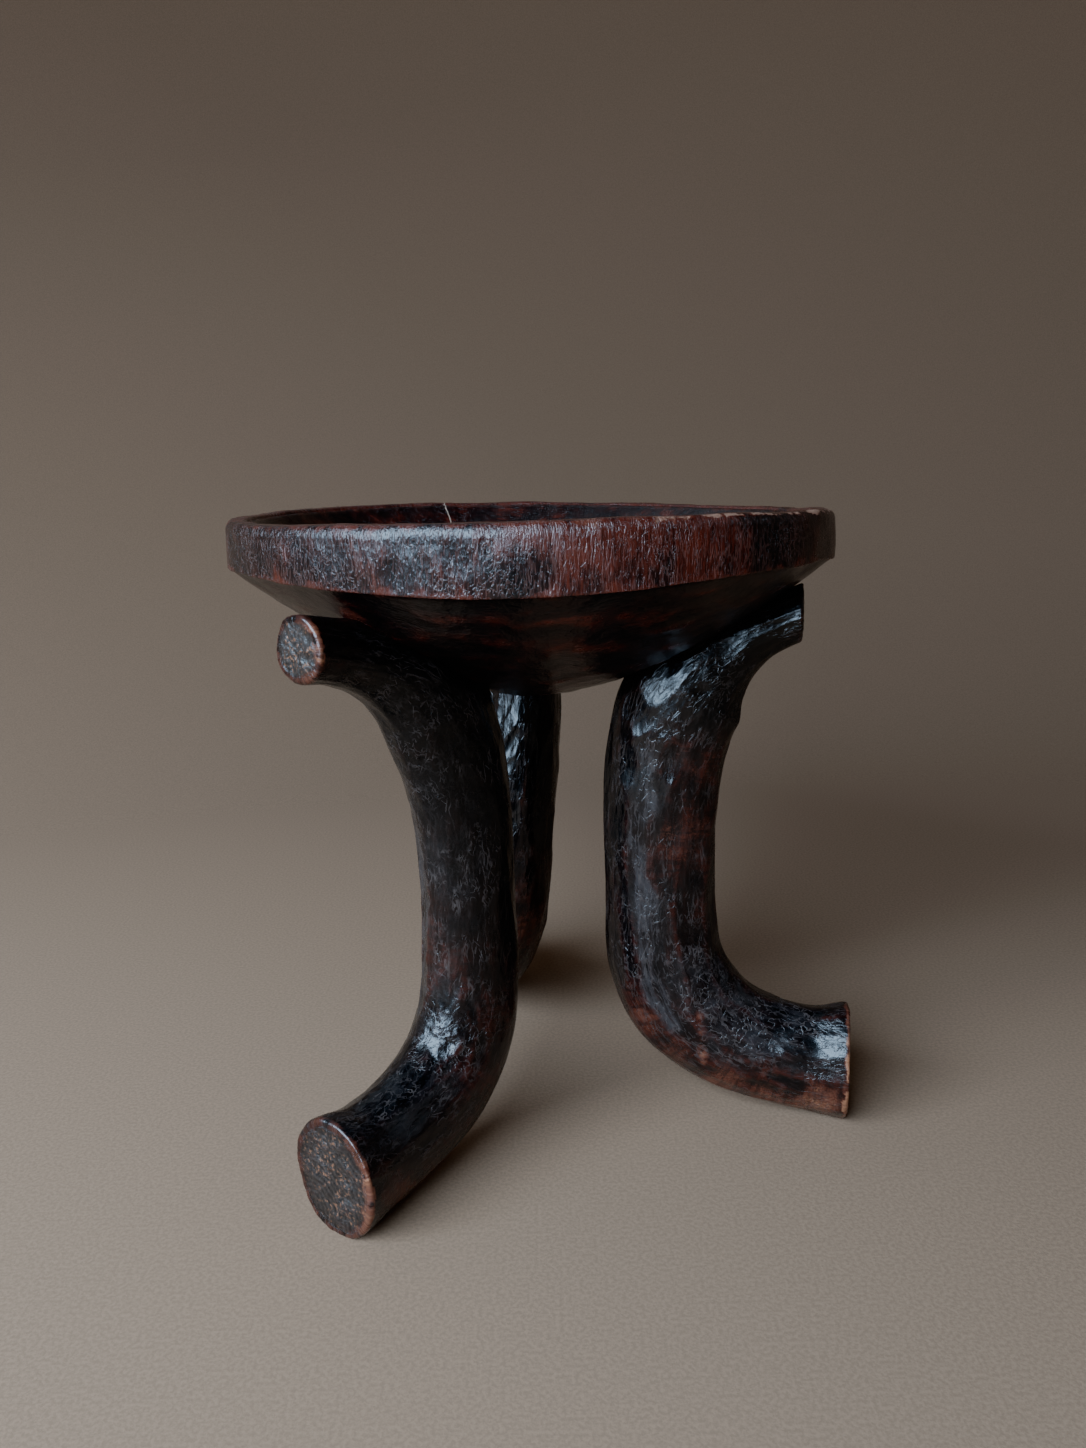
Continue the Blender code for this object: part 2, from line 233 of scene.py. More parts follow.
@dataclass(frozen=True)
class FlatStrip:
    """One long swaying facet down a leg: its bearing in degrees, half width, depth and two ends."""

    facing: float
    half_width: float
    depth: float
    start: float
    end: float
    sway: float
    seed: int
    # Share of the painted pale sheen on this facet, which stands in for its reflection of the light.
    polish_and_sheen: float = 1.0
    sway_length: float = 0.120
    width_length: float = 0.050
    width_change: float = 0.22
    end_power: int = 6
    painted_sheen_gain: float = 2.2

    def cut(self, across: np.ndarray, along: np.ndarray, girth: float) -> np.ndarray:
        """Depth of the facet at each point, as a height that is zero or negative."""
        place = along[..., None]
        sway = self.sway * ripple(place, self.sway_length, self.seed)
        side = across - girth * self.facing / 360.0 + sway
        change = self.width_change * ripple(place, self.width_length, self.seed + 1)
        width = self.half_width * (1.0 + change)
        side = ((side + girth / 2.0) % girth - girth / 2.0) / width
        ahead = (along - (self.start + self.end) / 2.0) / ((self.end - self.start) / 2.0)
        return np.minimum(self.depth * (side ** 2 + ahead ** self.end_power - 1.0), 0.0)

    def painted_sheen(self, across: np.ndarray, along: np.ndarray, girth: float) -> np.ndarray:
        """How much painted pale sheen the facet carries at each point, standing in for its glossy reflection
        of the light.
        """
        return self.polish_and_sheen * smooth_step(-self.painted_sheen_gain * self.cut(across, along, girth) / self.depth)


@dataclass(frozen=True)
class RubSpot:
    """A place where use has worn the patina, where smoke has deepened it, or where a painted pale sheen
    stands in for reflected light.
    """

    centre: tuple[float, float, float]
    reach: float
    amount: float
    layer: Layer = Layer.RUB


@dataclass
class Skin:
    """A closed carved surface: rows run along the piece, columns run round it, and each end is a point."""

    points: np.ndarray
    layers: dict[Layer, np.ndarray] = field(default_factory=dict)

    def normals(self) -> np.ndarray:
        """Outward directions of the surface at each point."""
        along = np.gradient(self.points, axis=0)
        around = np.roll(self.points, -1, axis=1) - np.roll(self.points, 1, axis=1)
        outward = np.cross(around, along)
        return outward / np.maximum(np.linalg.norm(outward, axis=-1, keepdims=True), 1e-12)

    def push(self, height: np.ndarray) -> None:
        """Move each point outwards by a height."""
        self.points = self.points + self.normals() * height[..., None]

    @staticmethod
    def softened(values: np.ndarray, passes: int) -> np.ndarray:
        """Blur values over the grid a number of times."""
        for _ in range(passes):
            values = (np.roll(values, 1, axis=1) + 2.0 * values + np.roll(values, -1, axis=1)) / 4.0
            padded = np.pad(values, ((1, 1), (0, 0)), mode="edge")
            values = (padded[:-2] + 2.0 * values + padded[2:]) / 4.0
        return values

    def mark_crests(self, height: np.ndarray, depth: float) -> None:
        """Keep how far ridges stand over their surroundings, and hollows lie under them.

        Args:
            height: Carved height of each point.
            depth: Height of a ridge that counts as a full one.
        """
        self.layers[Layer.CREST] = np.clip((height - self.softened(height, CREST_BLUR)) / depth, -1.0, 1.0)

    def mark_spots(self, spots: tuple[RubSpot, ...], seed: int) -> None:
        """Add worn, polished and sooty places to their layers, with ragged outlines.

        Args:
            spots: The places, round the seat's axis.
            seed: Seed of the outline.
        """
        ragged = SPOT_WANDER * ripple(self.points, SPOT_WAVE, seed)
        for spot in spots:
            distance = np.linalg.norm(self.points - np.array(spot.centre), axis=-1)
            distance += ragged * min(1.0, spot.reach / SPOT_FULL_WANDER)
            share = smooth_step(1.0 - distance / spot.reach)
            self.layers[spot.layer] = np.maximum(self.layers[spot.layer], spot.amount * share)

    def build(self, name: str, shift: np.ndarray) -> bpy.types.Object:
        """Wrap a grid round the piece, weld it shut and make it an object.

        Args:
            name: Name of the piece.
            shift: Where the seat's axis stands in the frame.

        Returns:
            The piece, at the origin, with its layers as point attributes.
        """
        rows, columns = self.points.shape[:2]
        bm = bmesh.new()
        bmesh.ops.create_grid(bm, x_segments=columns, y_segments=rows - 1, size=0.5)
        mesh = bpy.data.meshes.new(name)
        bm.to_mesh(mesh)
        bm.free()
        flat = np.zeros(len(mesh.vertices) * 3)
        mesh.vertices.foreach_get("co", flat)
        flat = flat.reshape(-1, 3) + 0.5
        column = np.rint(flat[:, 0] * columns).astype(int) % columns
        row = np.rint(flat[:, 1] * (rows - 1)).astype(int)
        mesh.vertices.foreach_set("co", (self.points[row, column] + shift).ravel())
        for layer, values in self.layers.items():
            wide = values.ndim == 3
            kind = "FLOAT_VECTOR" if wide else "FLOAT"
            attribute = mesh.attributes.new(layer.value, kind, "POINT")
            attribute.data.foreach_set("vector" if wide else "value", values[row, column].ravel())
        bm = bmesh.new()
        bm.from_mesh(mesh)
        bmesh.ops.remove_doubles(bm, verts=bm.verts, dist=WELD_DISTANCE)
        bmesh.ops.recalc_face_normals(bm, faces=bm.faces)
        for face in bm.faces:
            face.smooth = True
        bm.to_mesh(mesh)
        bm.free()
        piece = bpy.data.objects.new(name, mesh)
        bpy.context.scene.collection.objects.link(piece)
        return piece


class Sheet:
    """Adds nodes to one node tree and wires them up."""

    def __init__(self, tree: bpy.types.NodeTree) -> None:
        """Take the tree that the nodes go into."""
        self.tree = tree

    @classmethod
    def of_material(cls, name: str) -> tuple[bpy.types.Material, "Sheet"]:
        """Start a material with no nodes, and the sheet for it."""
        made = bpy.data.materials.new(name)
        made.use_nodes = True
        made.node_tree.nodes.clear()
        return made, cls(made.node_tree)

    def node(self, kind: str, wires: dict | None = None, **settings: object) -> bpy.types.Node:
        """Add one node.

        Args:
            kind: The node's type without its ShaderNode prefix.
            wires: Value or socket for each input, by name or number.
            settings: Properties of the node itself.

        Returns:
            The new node.
        """
        added = self.tree.nodes.new(kind if kind.startswith("Node") else "ShaderNode" + kind)
        for key, setting in settings.items():
            setattr(added, key, setting)
        for key, value in (wires or {}).items():
            if isinstance(value, Socket):
                self.tree.links.new(value, added.inputs[key])
            else:
                added.inputs[key].default_value = value
        return added

    def math(self, operation: str, first: object, second: object = 0.0, third: object = 0.0) -> Socket:
        """One step of arithmetic on values."""
        return self.node("Math", {0: first, 1: second, 2: third}, operation=operation).outputs[0]

    def times(self, first: object, second: object) -> Socket:
        """Product of two values."""
        return self.math("MULTIPLY", first, second)

    def minus(self, first: object, second: object) -> Socket:
        """Difference of two values."""
        return self.math("SUBTRACT", first, second)

    def over(self, first: object, second: object) -> Socket:
        """Quotient of two values."""
        return self.math("DIVIDE", first, second)

    def size(self, value: object) -> Socket:
        """A value without its sign."""
        return self.math("ABSOLUTE", value)

    def larger(self, first: object, second: object) -> Socket:
        """The larger of two values."""
        return self.math("MAXIMUM", first, second)

    def onto(self, base: object, *weighed: tuple[object, object]) -> Socket:
        """A base with values added to it, each times its weight."""
        for value, weight in weighed:
            base = self.math("MULTIPLY_ADD", value, weight, base)
        return base

    def vector(self, operation: str, first: object, second: object) -> Socket:
        """One step of arithmetic on vectors."""
        return self.node("VectorMath", {0: first, 1: second}, operation=operation).outputs[0]

    def scaled(self, place: Socket, across: object, aside: object, along: object) -> Socket:
        """Scale a place by a value on each axis."""
        scale = self.node("CombineXYZ", {0: across, 1: aside, 2: along}).outputs[0]
        return self.vector("MULTIPLY", place, scale)

    def span(
        self, value: object, low: object, high: object, start: float = 0.0, end: float = 1.0,
    ) -> Socket:
        """Ease a value from one range to another."""
        wires = {"Value": value, "From Min": low, "From Max": high, "To Min": start, "To Max": end}
        return self.node("MapRange", wires, interpolation_type="SMOOTHSTEP").outputs[0]

    def blend(self, share: object, low: object, high: object) -> Socket:
        """Mix two colours."""
        return self.node("Mix", {0: share, 6: low, 7: high}, data_type="RGBA").outputs[2]

    def noise(self, place: Socket, scale: float, detail: float = 4.0, rough: float = 0.55) -> Socket:
        """Cloudy noise between 0 and 1."""
        wires = {"Vector": place, "Scale": scale, "Detail": detail, "Roughness": rough}
        return self.node("TexNoise", wires, noise_dimensions="3D").outputs["Fac"]

    def layer(self, layer: Layer) -> Socket:
        """Read what the carved skin carries."""
        output = "Vector" if layer in (Layer.LAY, Layer.FLAT) else "Fac"
        read = self.node("Attribute", attribute_name=layer.value, attribute_type="GEOMETRY")
        return read.outputs[output]

    def group(self, tree: bpy.types.NodeTree, **wires: object) -> bpy.types.bpy_prop_collection:
        """Place a shared effect, and give its outputs."""
        return self.node("Group", wires, node_tree=tree).outputs

    def surface(self, height: Socket, shading: dict[str, object]) -> None:
        """Close a material with its shader.

        Args:
            height: Bump height in metres.
            shading: Value or socket for each input of the shader, by name.
        """
        bump = self.node("Bump", {"Height": height, "Strength": 1.0, "Distance": 1.0})
        shader = self.node("BsdfPrincipled", {**shading, "Normal": bump.outputs[0]})
        self.node("OutputMaterial", {"Surface": shader.outputs[0]})


@dataclass(frozen=True)
class Cloud:
    """A cloudy pattern: noise of a scale to the metre, eased to 0 at one level and to 1 at another."""

    scale: float
    low: float
    high: float
    detail: float = 2.0
    rough: float = 0.55

    def place(self, sheet: Sheet, place: Socket, least: float = 0.0) -> Socket:
        """Put the pattern into a sheet.

        Args:
            sheet: The sheet.
            place: Coordinates that the pattern lies in.
            least: What the pattern is eased to in place of 0.

        Returns:
            The pattern's value.
        """
        noise = sheet.noise(place, self.scale, self.detail, self.rough)
        return sheet.span(noise, self.low, self.high, least)


STREAK_CLOUD = Cloud(1.0, 0.28, 0.72, detail=5.0, rough=0.62)
PORE_CLOUD = Cloud(3.1, 0.60, 0.72)
BREAK_CLOUD = Cloud(0.83, 0.38, 0.52)
MARK_CLOUD = Cloud(75.0, 0.38, 0.62, detail=3.0)
CURL_CLOUD = Cloud(42.0, 0.46, 0.54)
POLISH_CLOUD = Cloud(60.0, 0.30, 0.70, detail=6.0, rough=0.65)
DRIP_CLOUD = Cloud(1.0, 0.46, 0.62, detail=3.0)
SPECK_CLOUD = Cloud(520.0, 0.55, 0.63, detail=3.0)
SPECK_PATCHES = Cloud(130.0, 0.44, 0.60)
PIT_CLOUD = Cloud(510.0, 0.44, 0.34)
PAPER_CLOUD = Cloud(560.0, 0.30, 0.70, rough=0.6)


class SharedEffect(Sheet):
    """A shader node group that more than one finish uses."""

    def __init__(self, name: str, place: str, values: tuple[str, ...], results: tuple[str, ...]) -> None:
        """Start the group.

        Args:
            name: Name of the effect.
            place: Name of its input for coordinates.
            values: Names of its inputs for values.
            results: Names of the values that it gives.
        """
        super().__init__(bpy.data.node_groups.new(name, "ShaderNodeTree"))
        entries = {place: "NodeSocketVector", **dict.fromkeys(values, "NodeSocketFloat")}
        for key, kind in entries.items():
            self.tree.interface.new_socket(key, in_out="INPUT", socket_type=kind)
        for key in results:
            self.tree.interface.new_socket(key, in_out="OUTPUT", socket_type="NodeSocketFloat")
        entry = self.node("NodeGroupInput")
        self.given = {key: entry.outputs[key] for key in entries}

    def give(self, **results: Socket) -> bpy.types.NodeTree:
        """Hand out the results, and return the finished group."""
        self.node("NodeGroupOutput", results)
        return self.tree


def fibre_effect() -> bpy.types.NodeTree:
    """Wood fibre: long streaks along the grain, and the open pores among them."""
    sheet = SharedEffect("wood_fibre", "Lay", ("Fineness", "Stretch", "Sweep"), ("Streak", "Pore"))
    fine = sheet.given["Fineness"]
    drawn = sheet.over(fine, sheet.given["Stretch"])
    across = sheet.minus(fine, sheet.times(sheet.minus(fine, drawn), sheet.given["Sweep"]))
    place = sheet.scaled(sheet.given["Lay"], across, fine, drawn)
    return sheet.give(Streak=STREAK_CLOUD.place(sheet, place), Pore=PORE_CLOUD.place(sheet, place))


def nick_effect() -> bpy.types.NodeTree:
    """Tool nicks: short straight strokes, one in each cell of a scattered pattern."""
    values = ("Density", "Width", "Length", "Turn", "Spread", "Kept")
    sheet = SharedEffect("tool_nicks", "Flat", values, ("Nick",))
    dense = sheet.given["Density"]
    place = sheet.scaled(sheet.given["Flat"], dense, dense, dense)
    wires = {"Vector": place, "Scale": 1.0}
    cells = sheet.node("TexVoronoi", wires, voronoi_dimensions="2D", feature="F1").outputs
    aim, made, draw = sheet.node("SeparateColor", {0: cells["Color"]}).outputs
    angle = sheet.onto(sheet.given["Turn"], (sheet.minus(aim, MIDDLE), sheet.given["Spread"]))
    wires = {"Vector": sheet.vector("SUBTRACT", place, cells["Position"]), "Angle": angle}
    turned = sheet.node("VectorRotate", wires, rotation_type="Z_AXIS").outputs[0]
    side, ahead, _ = sheet.node("SeparateXYZ", {0: turned}).outputs
    side = sheet.over(sheet.size(side), sheet.given["Width"])
    length = sheet.times(sheet.given["Length"], sheet.onto(NICK_SHORTEST, (draw, NICK_GROWTH)))
    ahead = sheet.over(sheet.size(ahead), length)
    side, ahead = sheet.span(side, 1.0, NICK_SIDE_CORE), sheet.span(ahead, 1.0, NICK_END_CORE)
    stroke = sheet.times(side, ahead)
    return sheet.give(Nick=sheet.times(stroke, sheet.math("LESS_THAN", made, sheet.given["Kept"])))


def line_effect() -> bpy.types.NodeTree:
    """Worn lines: thin, curling, broken ridges where hands have polished the tool work."""
    sheet = SharedEffect("worn_lines", "Lay", ("Density", "Stretch", "Width"), ("Line",))
    dense, width = sheet.given["Density"], sheet.given["Width"]
    place = sheet.scaled(sheet.given["Lay"], dense, dense, sheet.over(dense, sheet.given["Stretch"]))
    off_line = sheet.size(sheet.minus(sheet.noise(place, 1.0, detail=LINE_DETAIL), MIDDLE))
    line = sheet.span(off_line, low=width, high=sheet.times(width, LINE_CORE))
    return sheet.give(Line=sheet.times(line, BREAK_CLOUD.place(sheet, place)))


def dint_effect() -> bpy.types.NodeTree:
    """Adze dints: small hollows side by side, with a crisp ridge where two of them meet."""
    sheet = SharedEffect("adze_dints", "Lay", ("Density", "Stretch"), ("Rise",))
    dense = sheet.given["Density"]
    place = sheet.scaled(sheet.given["Lay"], dense, dense, sheet.over(dense, sheet.given["Stretch"]))
    wires = {"Vector": place, "Scale": DINT_SWAY_SCALE, "Detail": 2.0}
    sway = sheet.node("TexNoise", wires).outputs["Color"]
    wires = {"Vector": sheet.vector("ADD", place, sway), "Scale": 1.0}
    cells = sheet.node("TexVoronoi", wires, voronoi_dimensions="3D", feature="F1").outputs
    return sheet.give(Rise=sheet.math("POWER", cells["Distance"], 2.0))


def wear_effect() -> bpy.types.NodeTree:
    """Wear: where use has rubbed the patina red, thinned it to copper or bared it, and its mottle."""
    values = ("Rub", "Crest", "Soot", "Streak", "Grain", "Age")
    sheet = SharedEffect("patina_wear", "Lay", values, ("Rubbed", "Thin", "Bare", "Mottle"))
    given = sheet.given
    broad = sheet.noise(given["Lay"], 38.0, detail=5.0, rough=0.6)
    drawn = sheet.vector("MULTIPLY", given["Lay"], (1.0, 1.0, 0.6))
    patch = sheet.noise(drawn, 170.0, detail=5.0, rough=0.7)
    grit = sheet.noise(given["Lay"], 900.0, detail=3.0, rough=0.7)
    worn = sheet.onto(
        given["Age"], (broad, BROAD_WEAR), (patch, PATCH_WEAR), (given["Crest"], CREST_WEAR),
        (given["Rub"], RUB_WEAR), (given["Soot"], SOOT_WEAR),
        (sheet.minus(given["Streak"], MIDDLE), given["Grain"]),
    )
    rough_rub = sheet.onto(
        given["Rub"], (sheet.minus(grit, MIDDLE), GRIT_RUB), (sheet.minus(patch, MIDDLE), PATCH_RUB),
    )
    return sheet.give(
        Rubbed=sheet.span(worn, low=0.50, high=0.78),
        Thin=sheet.span(rough_rub, low=0.40, high=0.92),
        Bare=sheet.span(rough_rub, low=0.80, high=1.16),
        Mottle=sheet.span(sheet.onto(worn, (grit, GRIT_MOTTLE)), low=0.36, high=0.62),
    )


@dataclass(frozen=True)
class Effects:
    """The shared effects, built once."""

    fibre: bpy.types.NodeTree
    nicks: bpy.types.NodeTree
    lines: bpy.types.NodeTree
    dints: bpy.types.NodeTree
    wear: bpy.types.NodeTree

    @classmethod
    def build(cls) -> "Effects":
        """Make each effect's node group."""
        return cls(fibre_effect(), nick_effect(), line_effect(), dint_effect(), wear_effect())


@dataclass(frozen=True)
class NickWork:
    """One layer of tool nicks: cells to the metre, stroke size in cells, angles in degrees, share made."""

    density: float
    width: float
    length: float
    turn: float
    spread: float
    kept: float

    def place(self, sheet: Sheet, tree: bpy.types.NodeTree, flat: Socket) -> Socket:
        """Put this layer of nicks into a material."""
        placed = sheet.group(
            tree, Flat=flat, Density=self.density, Width=self.width, Length=self.length,
            Turn=math.radians(self.turn), Spread=math.radians(self.spread), Kept=self.kept,
        )
        return placed["Nick"]


@dataclass(frozen=True)
class DintWork:
    """One layer of small hollows: cells to the metre, how far the grain draws them out, and height."""

    density: float
    stretch: float
    height: float


@dataclass(frozen=True)
class LineWork:
    """Worn lines: cells to the metre, stretch of straight and of curled ones, width, height and tint."""

    density: float
    stretches: tuple[float, float]
    width: float
    height: float
    tint: float


@dataclass(frozen=True)
class Crack:
    """A hairline crack across the rim: its place round the rim, half width and sway, and its two ends."""

    place: float
    half_width: float
    sway: float
    start: float
    end: float
    sway_scale: float = 110.0
    core: float = 0.4

    def mask(self, sheet: Sheet, flat: Socket, lay: Socket) -> Socket:
        """Where the crack runs.

        Args:
            sheet: Sheet of the material.
            flat: The skin's unrolled coordinates.
            lay: The skin's straightened coordinates.

        Returns:
            A mask that is 1 in the crack.
        """
        around, along, _ = sheet.node("SeparateXYZ", {0: flat}).outputs
        swayed = sheet.onto(around, (sheet.minus(sheet.noise(lay, self.sway_scale), MIDDLE), self.sway))
        side = sheet.size(sheet.minus(swayed, self.place))
        line = sheet.span(side, low=self.half_width, high=self.half_width * self.core)
        begun = sheet.math("GREATER_THAN", along, self.start)
        ended = sheet.math("LESS_THAN", along, self.end)
        return sheet.times(line, sheet.times(begun, ended))


@dataclass(frozen=True)
class Cues:
    """What a finish goes by: what it reads from the skin, and what the shared effects make of that."""

    lay: Socket
    flat: Socket
    ends: Socket
    upright: Socket
    sheen_share: Socket
    sheen_fringe: Socket
    streak: Socket
    pore: Socket
    wear: bpy.types.bpy_prop_collection
    nick: Socket
    line: Socket
    polish_and_sheen: Socket
    grit: Socket


@dataclass(frozen=True)
class PatinaFinish:
    """Hardwood under a smoky, hand-polished patina, with painted sheen and painted glints standing in for
    reflected light.
    """

    name: str
    soot: Colour
    heart: Colour
    rubbed: Colour
    copper: Colour
    bare: Colour
    end_grain: Colour
    # Pale colour of nicks and worn lines: partly real scratches, partly painted glints on their ridges.
    scuff_and_glint: Colour
    # Painted sheen: a pale bluish-grey colour laid where facets would reflect the light.
    painted_sheen: Colour
    drips: tuple[float, float]
    drip_depth: float
    grain: float
    age: float
    fineness: float
    stretch: float
    nicks: tuple[NickWork, ...]
    nick_tint: float
    dints: DintWork
    wrinkles: DintWork
    lines: LineWork
    gloss: tuple[float, float]
    mark_least: float
    streak_height: float = 0.00004
    nick_height: float = 0.00010
    grit_height: float = 0.000012
    grit_scale: float = 1500.0
    sweep_calm: float = 0.75
    # How much paler the lines are drawn at the fringe of the painted sheen, as painted glints.
    sheen_fringe_tint: float = 1.60
    ring_least: float = 0.42
    ring_share: float = 0.55
    pore_shade: float = 0.55
    pit_shade: float = 0.75
    speck_tint: float = 0.62
    grit_rough: float = 0.10
    bare_rough: float = 0.18
    rubbed_rough: float = 0.06
    end_rough: float = 0.16
    specular: float = 0.5
    ior: float = 1.5
    crack: Crack | None = None
    crack_colour: Colour = (0.34, 0.23, 0.17, 1.0)
    crack_depth: float = 0.0003

    def material(self, effects: Effects) -> bpy.types.Material:
        """Build the finish as a material.

        Args:
            effects: The shared effects.

        Returns:
            The material.
        """
        made, sheet = Sheet.of_material(self.name)
        cues = self.cues(sheet, effects)
        colour = self.colour(sheet, cues)
        height = self.height(sheet, cues, effects)
        if self.crack:
            split = self.crack.mask(sheet, cues.flat, cues.lay)
            colour = sheet.blend(split, colour, self.crack_colour)
            height = sheet.onto(height, (split, -self.crack_depth))
        sheet.surface(height, {
            "Base Color": colour, "Roughness": self.roughness(sheet, cues),
            "Specular IOR Level": self.specular, "IOR": self.ior,
        })
        made.diffuse_color = self.heart
        return made

    def cues(self, sheet: Sheet, effects: Effects) -> Cues:
        """Read the skin and place the shared effects.

        Args:
            sheet: Sheet of the material.
            effects: The shared effects.

        Returns:
            What the colour, the height and the roughness go by.
        """
        skin = {layer: sheet.layer(layer) for layer in Layer}
        lay, flat = skin[Layer.LAY], skin[Layer.FLAT]
        # The painted sheen layer: a pale colour in place of light reflected by facets and spots.
        sweep, sheen_share = skin[Layer.SWEEP], skin[Layer.HAZE]
        fibre = sheet.group(
            effects.fibre, Lay=lay, Fineness=self.fineness, Stretch=self.stretch, Sweep=sweep,
        )
        wear = sheet.group(
            effects.wear, Lay=lay, Rub=skin[Layer.RUB], Crest=skin[Layer.CREST], Soot=skin[Layer.SOOT],
            Streak=fibre["Streak"], Grain=self.grain, Age=self.age,
        )
        upright = sheet.minus(1.0, sweep)
        sheen_fringe = sheet.times(sheen_share, sheet.minus(1.0, sheen_share))
        gather = MARK_CLOUD.place(sheet, lay, self.mark_least)
        gather = sheet.times(gather, sheet.onto(1.0, (sweep, -self.sweep_calm)))
        gather = sheet.larger(gather, sheen_share)
        nick = self.nicks[0].place(sheet, effects.nicks, flat)
        for work in self.nicks[1:]:
            nick = sheet.larger(nick, work.place(sheet, effects.nicks, flat))
        wires = {"Lay": lay, "Density": self.lines.density, "Width": self.lines.width}
        drawn, curled = (
            sheet.group(effects.lines, **wires, Stretch=stretch)["Line"] for stretch in self.lines.stretches
        )
        curl = sheet.larger(CURL_CLOUD.place(sheet, lay), sheet.span(sheen_fringe, low=0.10, high=0.22))
        line = sheet.onto(drawn, (curl, sheet.minus(curled, drawn)))
        return Cues(
            lay, flat, skin[Layer.ENDS], upright, sheen_share, sheen_fringe, fibre["Streak"], fibre["Pore"], wear,
            nick=sheet.times(nick, sheet.times(gather, upright)),
            line=sheet.times(line, gather),
            polish_and_sheen=POLISH_CLOUD.place(sheet, lay),
            grit=sheet.noise(lay, self.grit_scale, detail=2.0),
        )

    def colour(self, sheet: Sheet, cues: Cues) -> Socket:
        """Base colour: the patina and its wear, a painted sheen, the sawn ends, and the tool marks over
        them, whose pale colour is partly painted glints.

        Args:
            sheet: Sheet of the material.
            cues: What the colour goes by.

        Returns:
            The colour.
        """
        drip = DRIP_CLOUD.place(sheet, sheet.vector("MULTIPLY", cues.flat, (*self.drips, 0.0)))
        dry = sheet.onto(1.0, (sheet.times(drip, cues.upright), -self.drip_depth))
        sheen_break = sheet.onto(sheet.times(cues.polish_and_sheen, 0.5), (cues.streak, 0.5))
        pored = sheet.times(cues.pore, sheet.minus(1.0, cues.ends))
        speck = sheet.times(SPECK_CLOUD.place(sheet, cues.lay), cues.ends)
        speck = sheet.times(speck, SPECK_PATCHES.place(sheet, cues.lay))
        pit = sheet.times(PIT_CLOUD.place(sheet, cues.lay), cues.ends)
        rings = sheet.node("TexWave", {
            "Vector": sheet.vector("ADD", cues.lay, RING_SHIFT), "Scale": RING_SCALE,
            "Distortion": RING_WANDER, "Detail": 2.0,
        }, wave_type="RINGS", rings_direction="Z").outputs["Fac"]
        grown = sheet.times(cues.ends, sheet.onto(self.ring_least, (rings, self.ring_share)))
        # Lines are drawn paler at the fringe of the painted sheen.
        line_tint = sheet.onto(self.lines.tint, (cues.sheen_fringe, self.sheen_fringe_tint))
        # Pale scuffs on nicks and lines: partly real scratches, partly painted glints.
        scuffs_and_glints = sheet.larger(sheet.times(cues.nick, self.nick_tint), sheet.times(cues.line, line_tint))
        colour = sheet.blend(cues.wear["Mottle"], self.soot, self.heart)
        for share, coat in (
            (sheet.times(cues.wear["Rubbed"], dry), self.rubbed),
            (sheet.times(cues.wear["Thin"], dry), self.copper),
            # Painted sheen: pale colour where polished facets and spots would reflect the light.
            (sheet.times(cues.sheen_share, sheet.span(sheen_break, low=0.2, high=0.8)), self.painted_sheen),
            (grown, self.end_grain),
            (sheet.times(pored, self.pore_shade), self.soot),
            (sheet.times(pit, self.pit_shade), self.soot),
            (sheet.times(speck, self.speck_tint), self.bare),
            (scuffs_and_glints, self.scuff_and_glint),
            (cues.wear["Bare"], self.bare),
        ):
            colour = sheet.blend(share, colour, coat)
        return colour

    def height(self, sheet: Sheet, cues: Cues, effects: Effects) -> Socket:
        """Bump height in metres: fibre, dints, wrinkles, nicks, lines, grit and pores.

        Args:
            sheet: Sheet of the material.
            cues: What the height goes by.
            effects: The shared effects.

        Returns:
            The height.
        """
        dints, wrinkles = (
            sheet.group(effects.dints, Lay=cues.lay, Density=work.density, Stretch=work.stretch)["Rise"]
            for work in (self.dints, self.wrinkles)
        )
        return sheet.onto(
            sheet.times(cues.streak, self.streak_height), (cues.pore, -self.streak_height),
            (dints, self.dints.height), (wrinkles, self.wrinkles.height), (cues.nick, -self.nick_height),
            (cues.line, self.lines.height), (cues.grit, self.grit_height),
        )

    def roughness(self, sheet: Sheet, cues: Cues) -> Socket:
        """Roughness: hand polish, less of it where the wood is gritty, bare, rubbed or sawn.

        Args:
            sheet: Sheet of the material.
            cues: What the roughness goes by.

        Returns:
            The roughness.
        """
        return sheet.onto(
            self.gloss[0], (cues.polish_and_sheen, self.gloss[1] - self.gloss[0]), (cues.grit, self.grit_rough),
            (cues.wear["Bare"], self.bare_rough), (cues.wear["Rubbed"], self.rubbed_rough),
            (cues.ends, self.end_rough),
        )


@dataclass(frozen=True)
class WornEdge:
    """A worn edge of the seat: its stretch of the section, the share along it, half width, and wear."""

    stretch: str
    share: float
    half_width: float
    least: float
    most: float


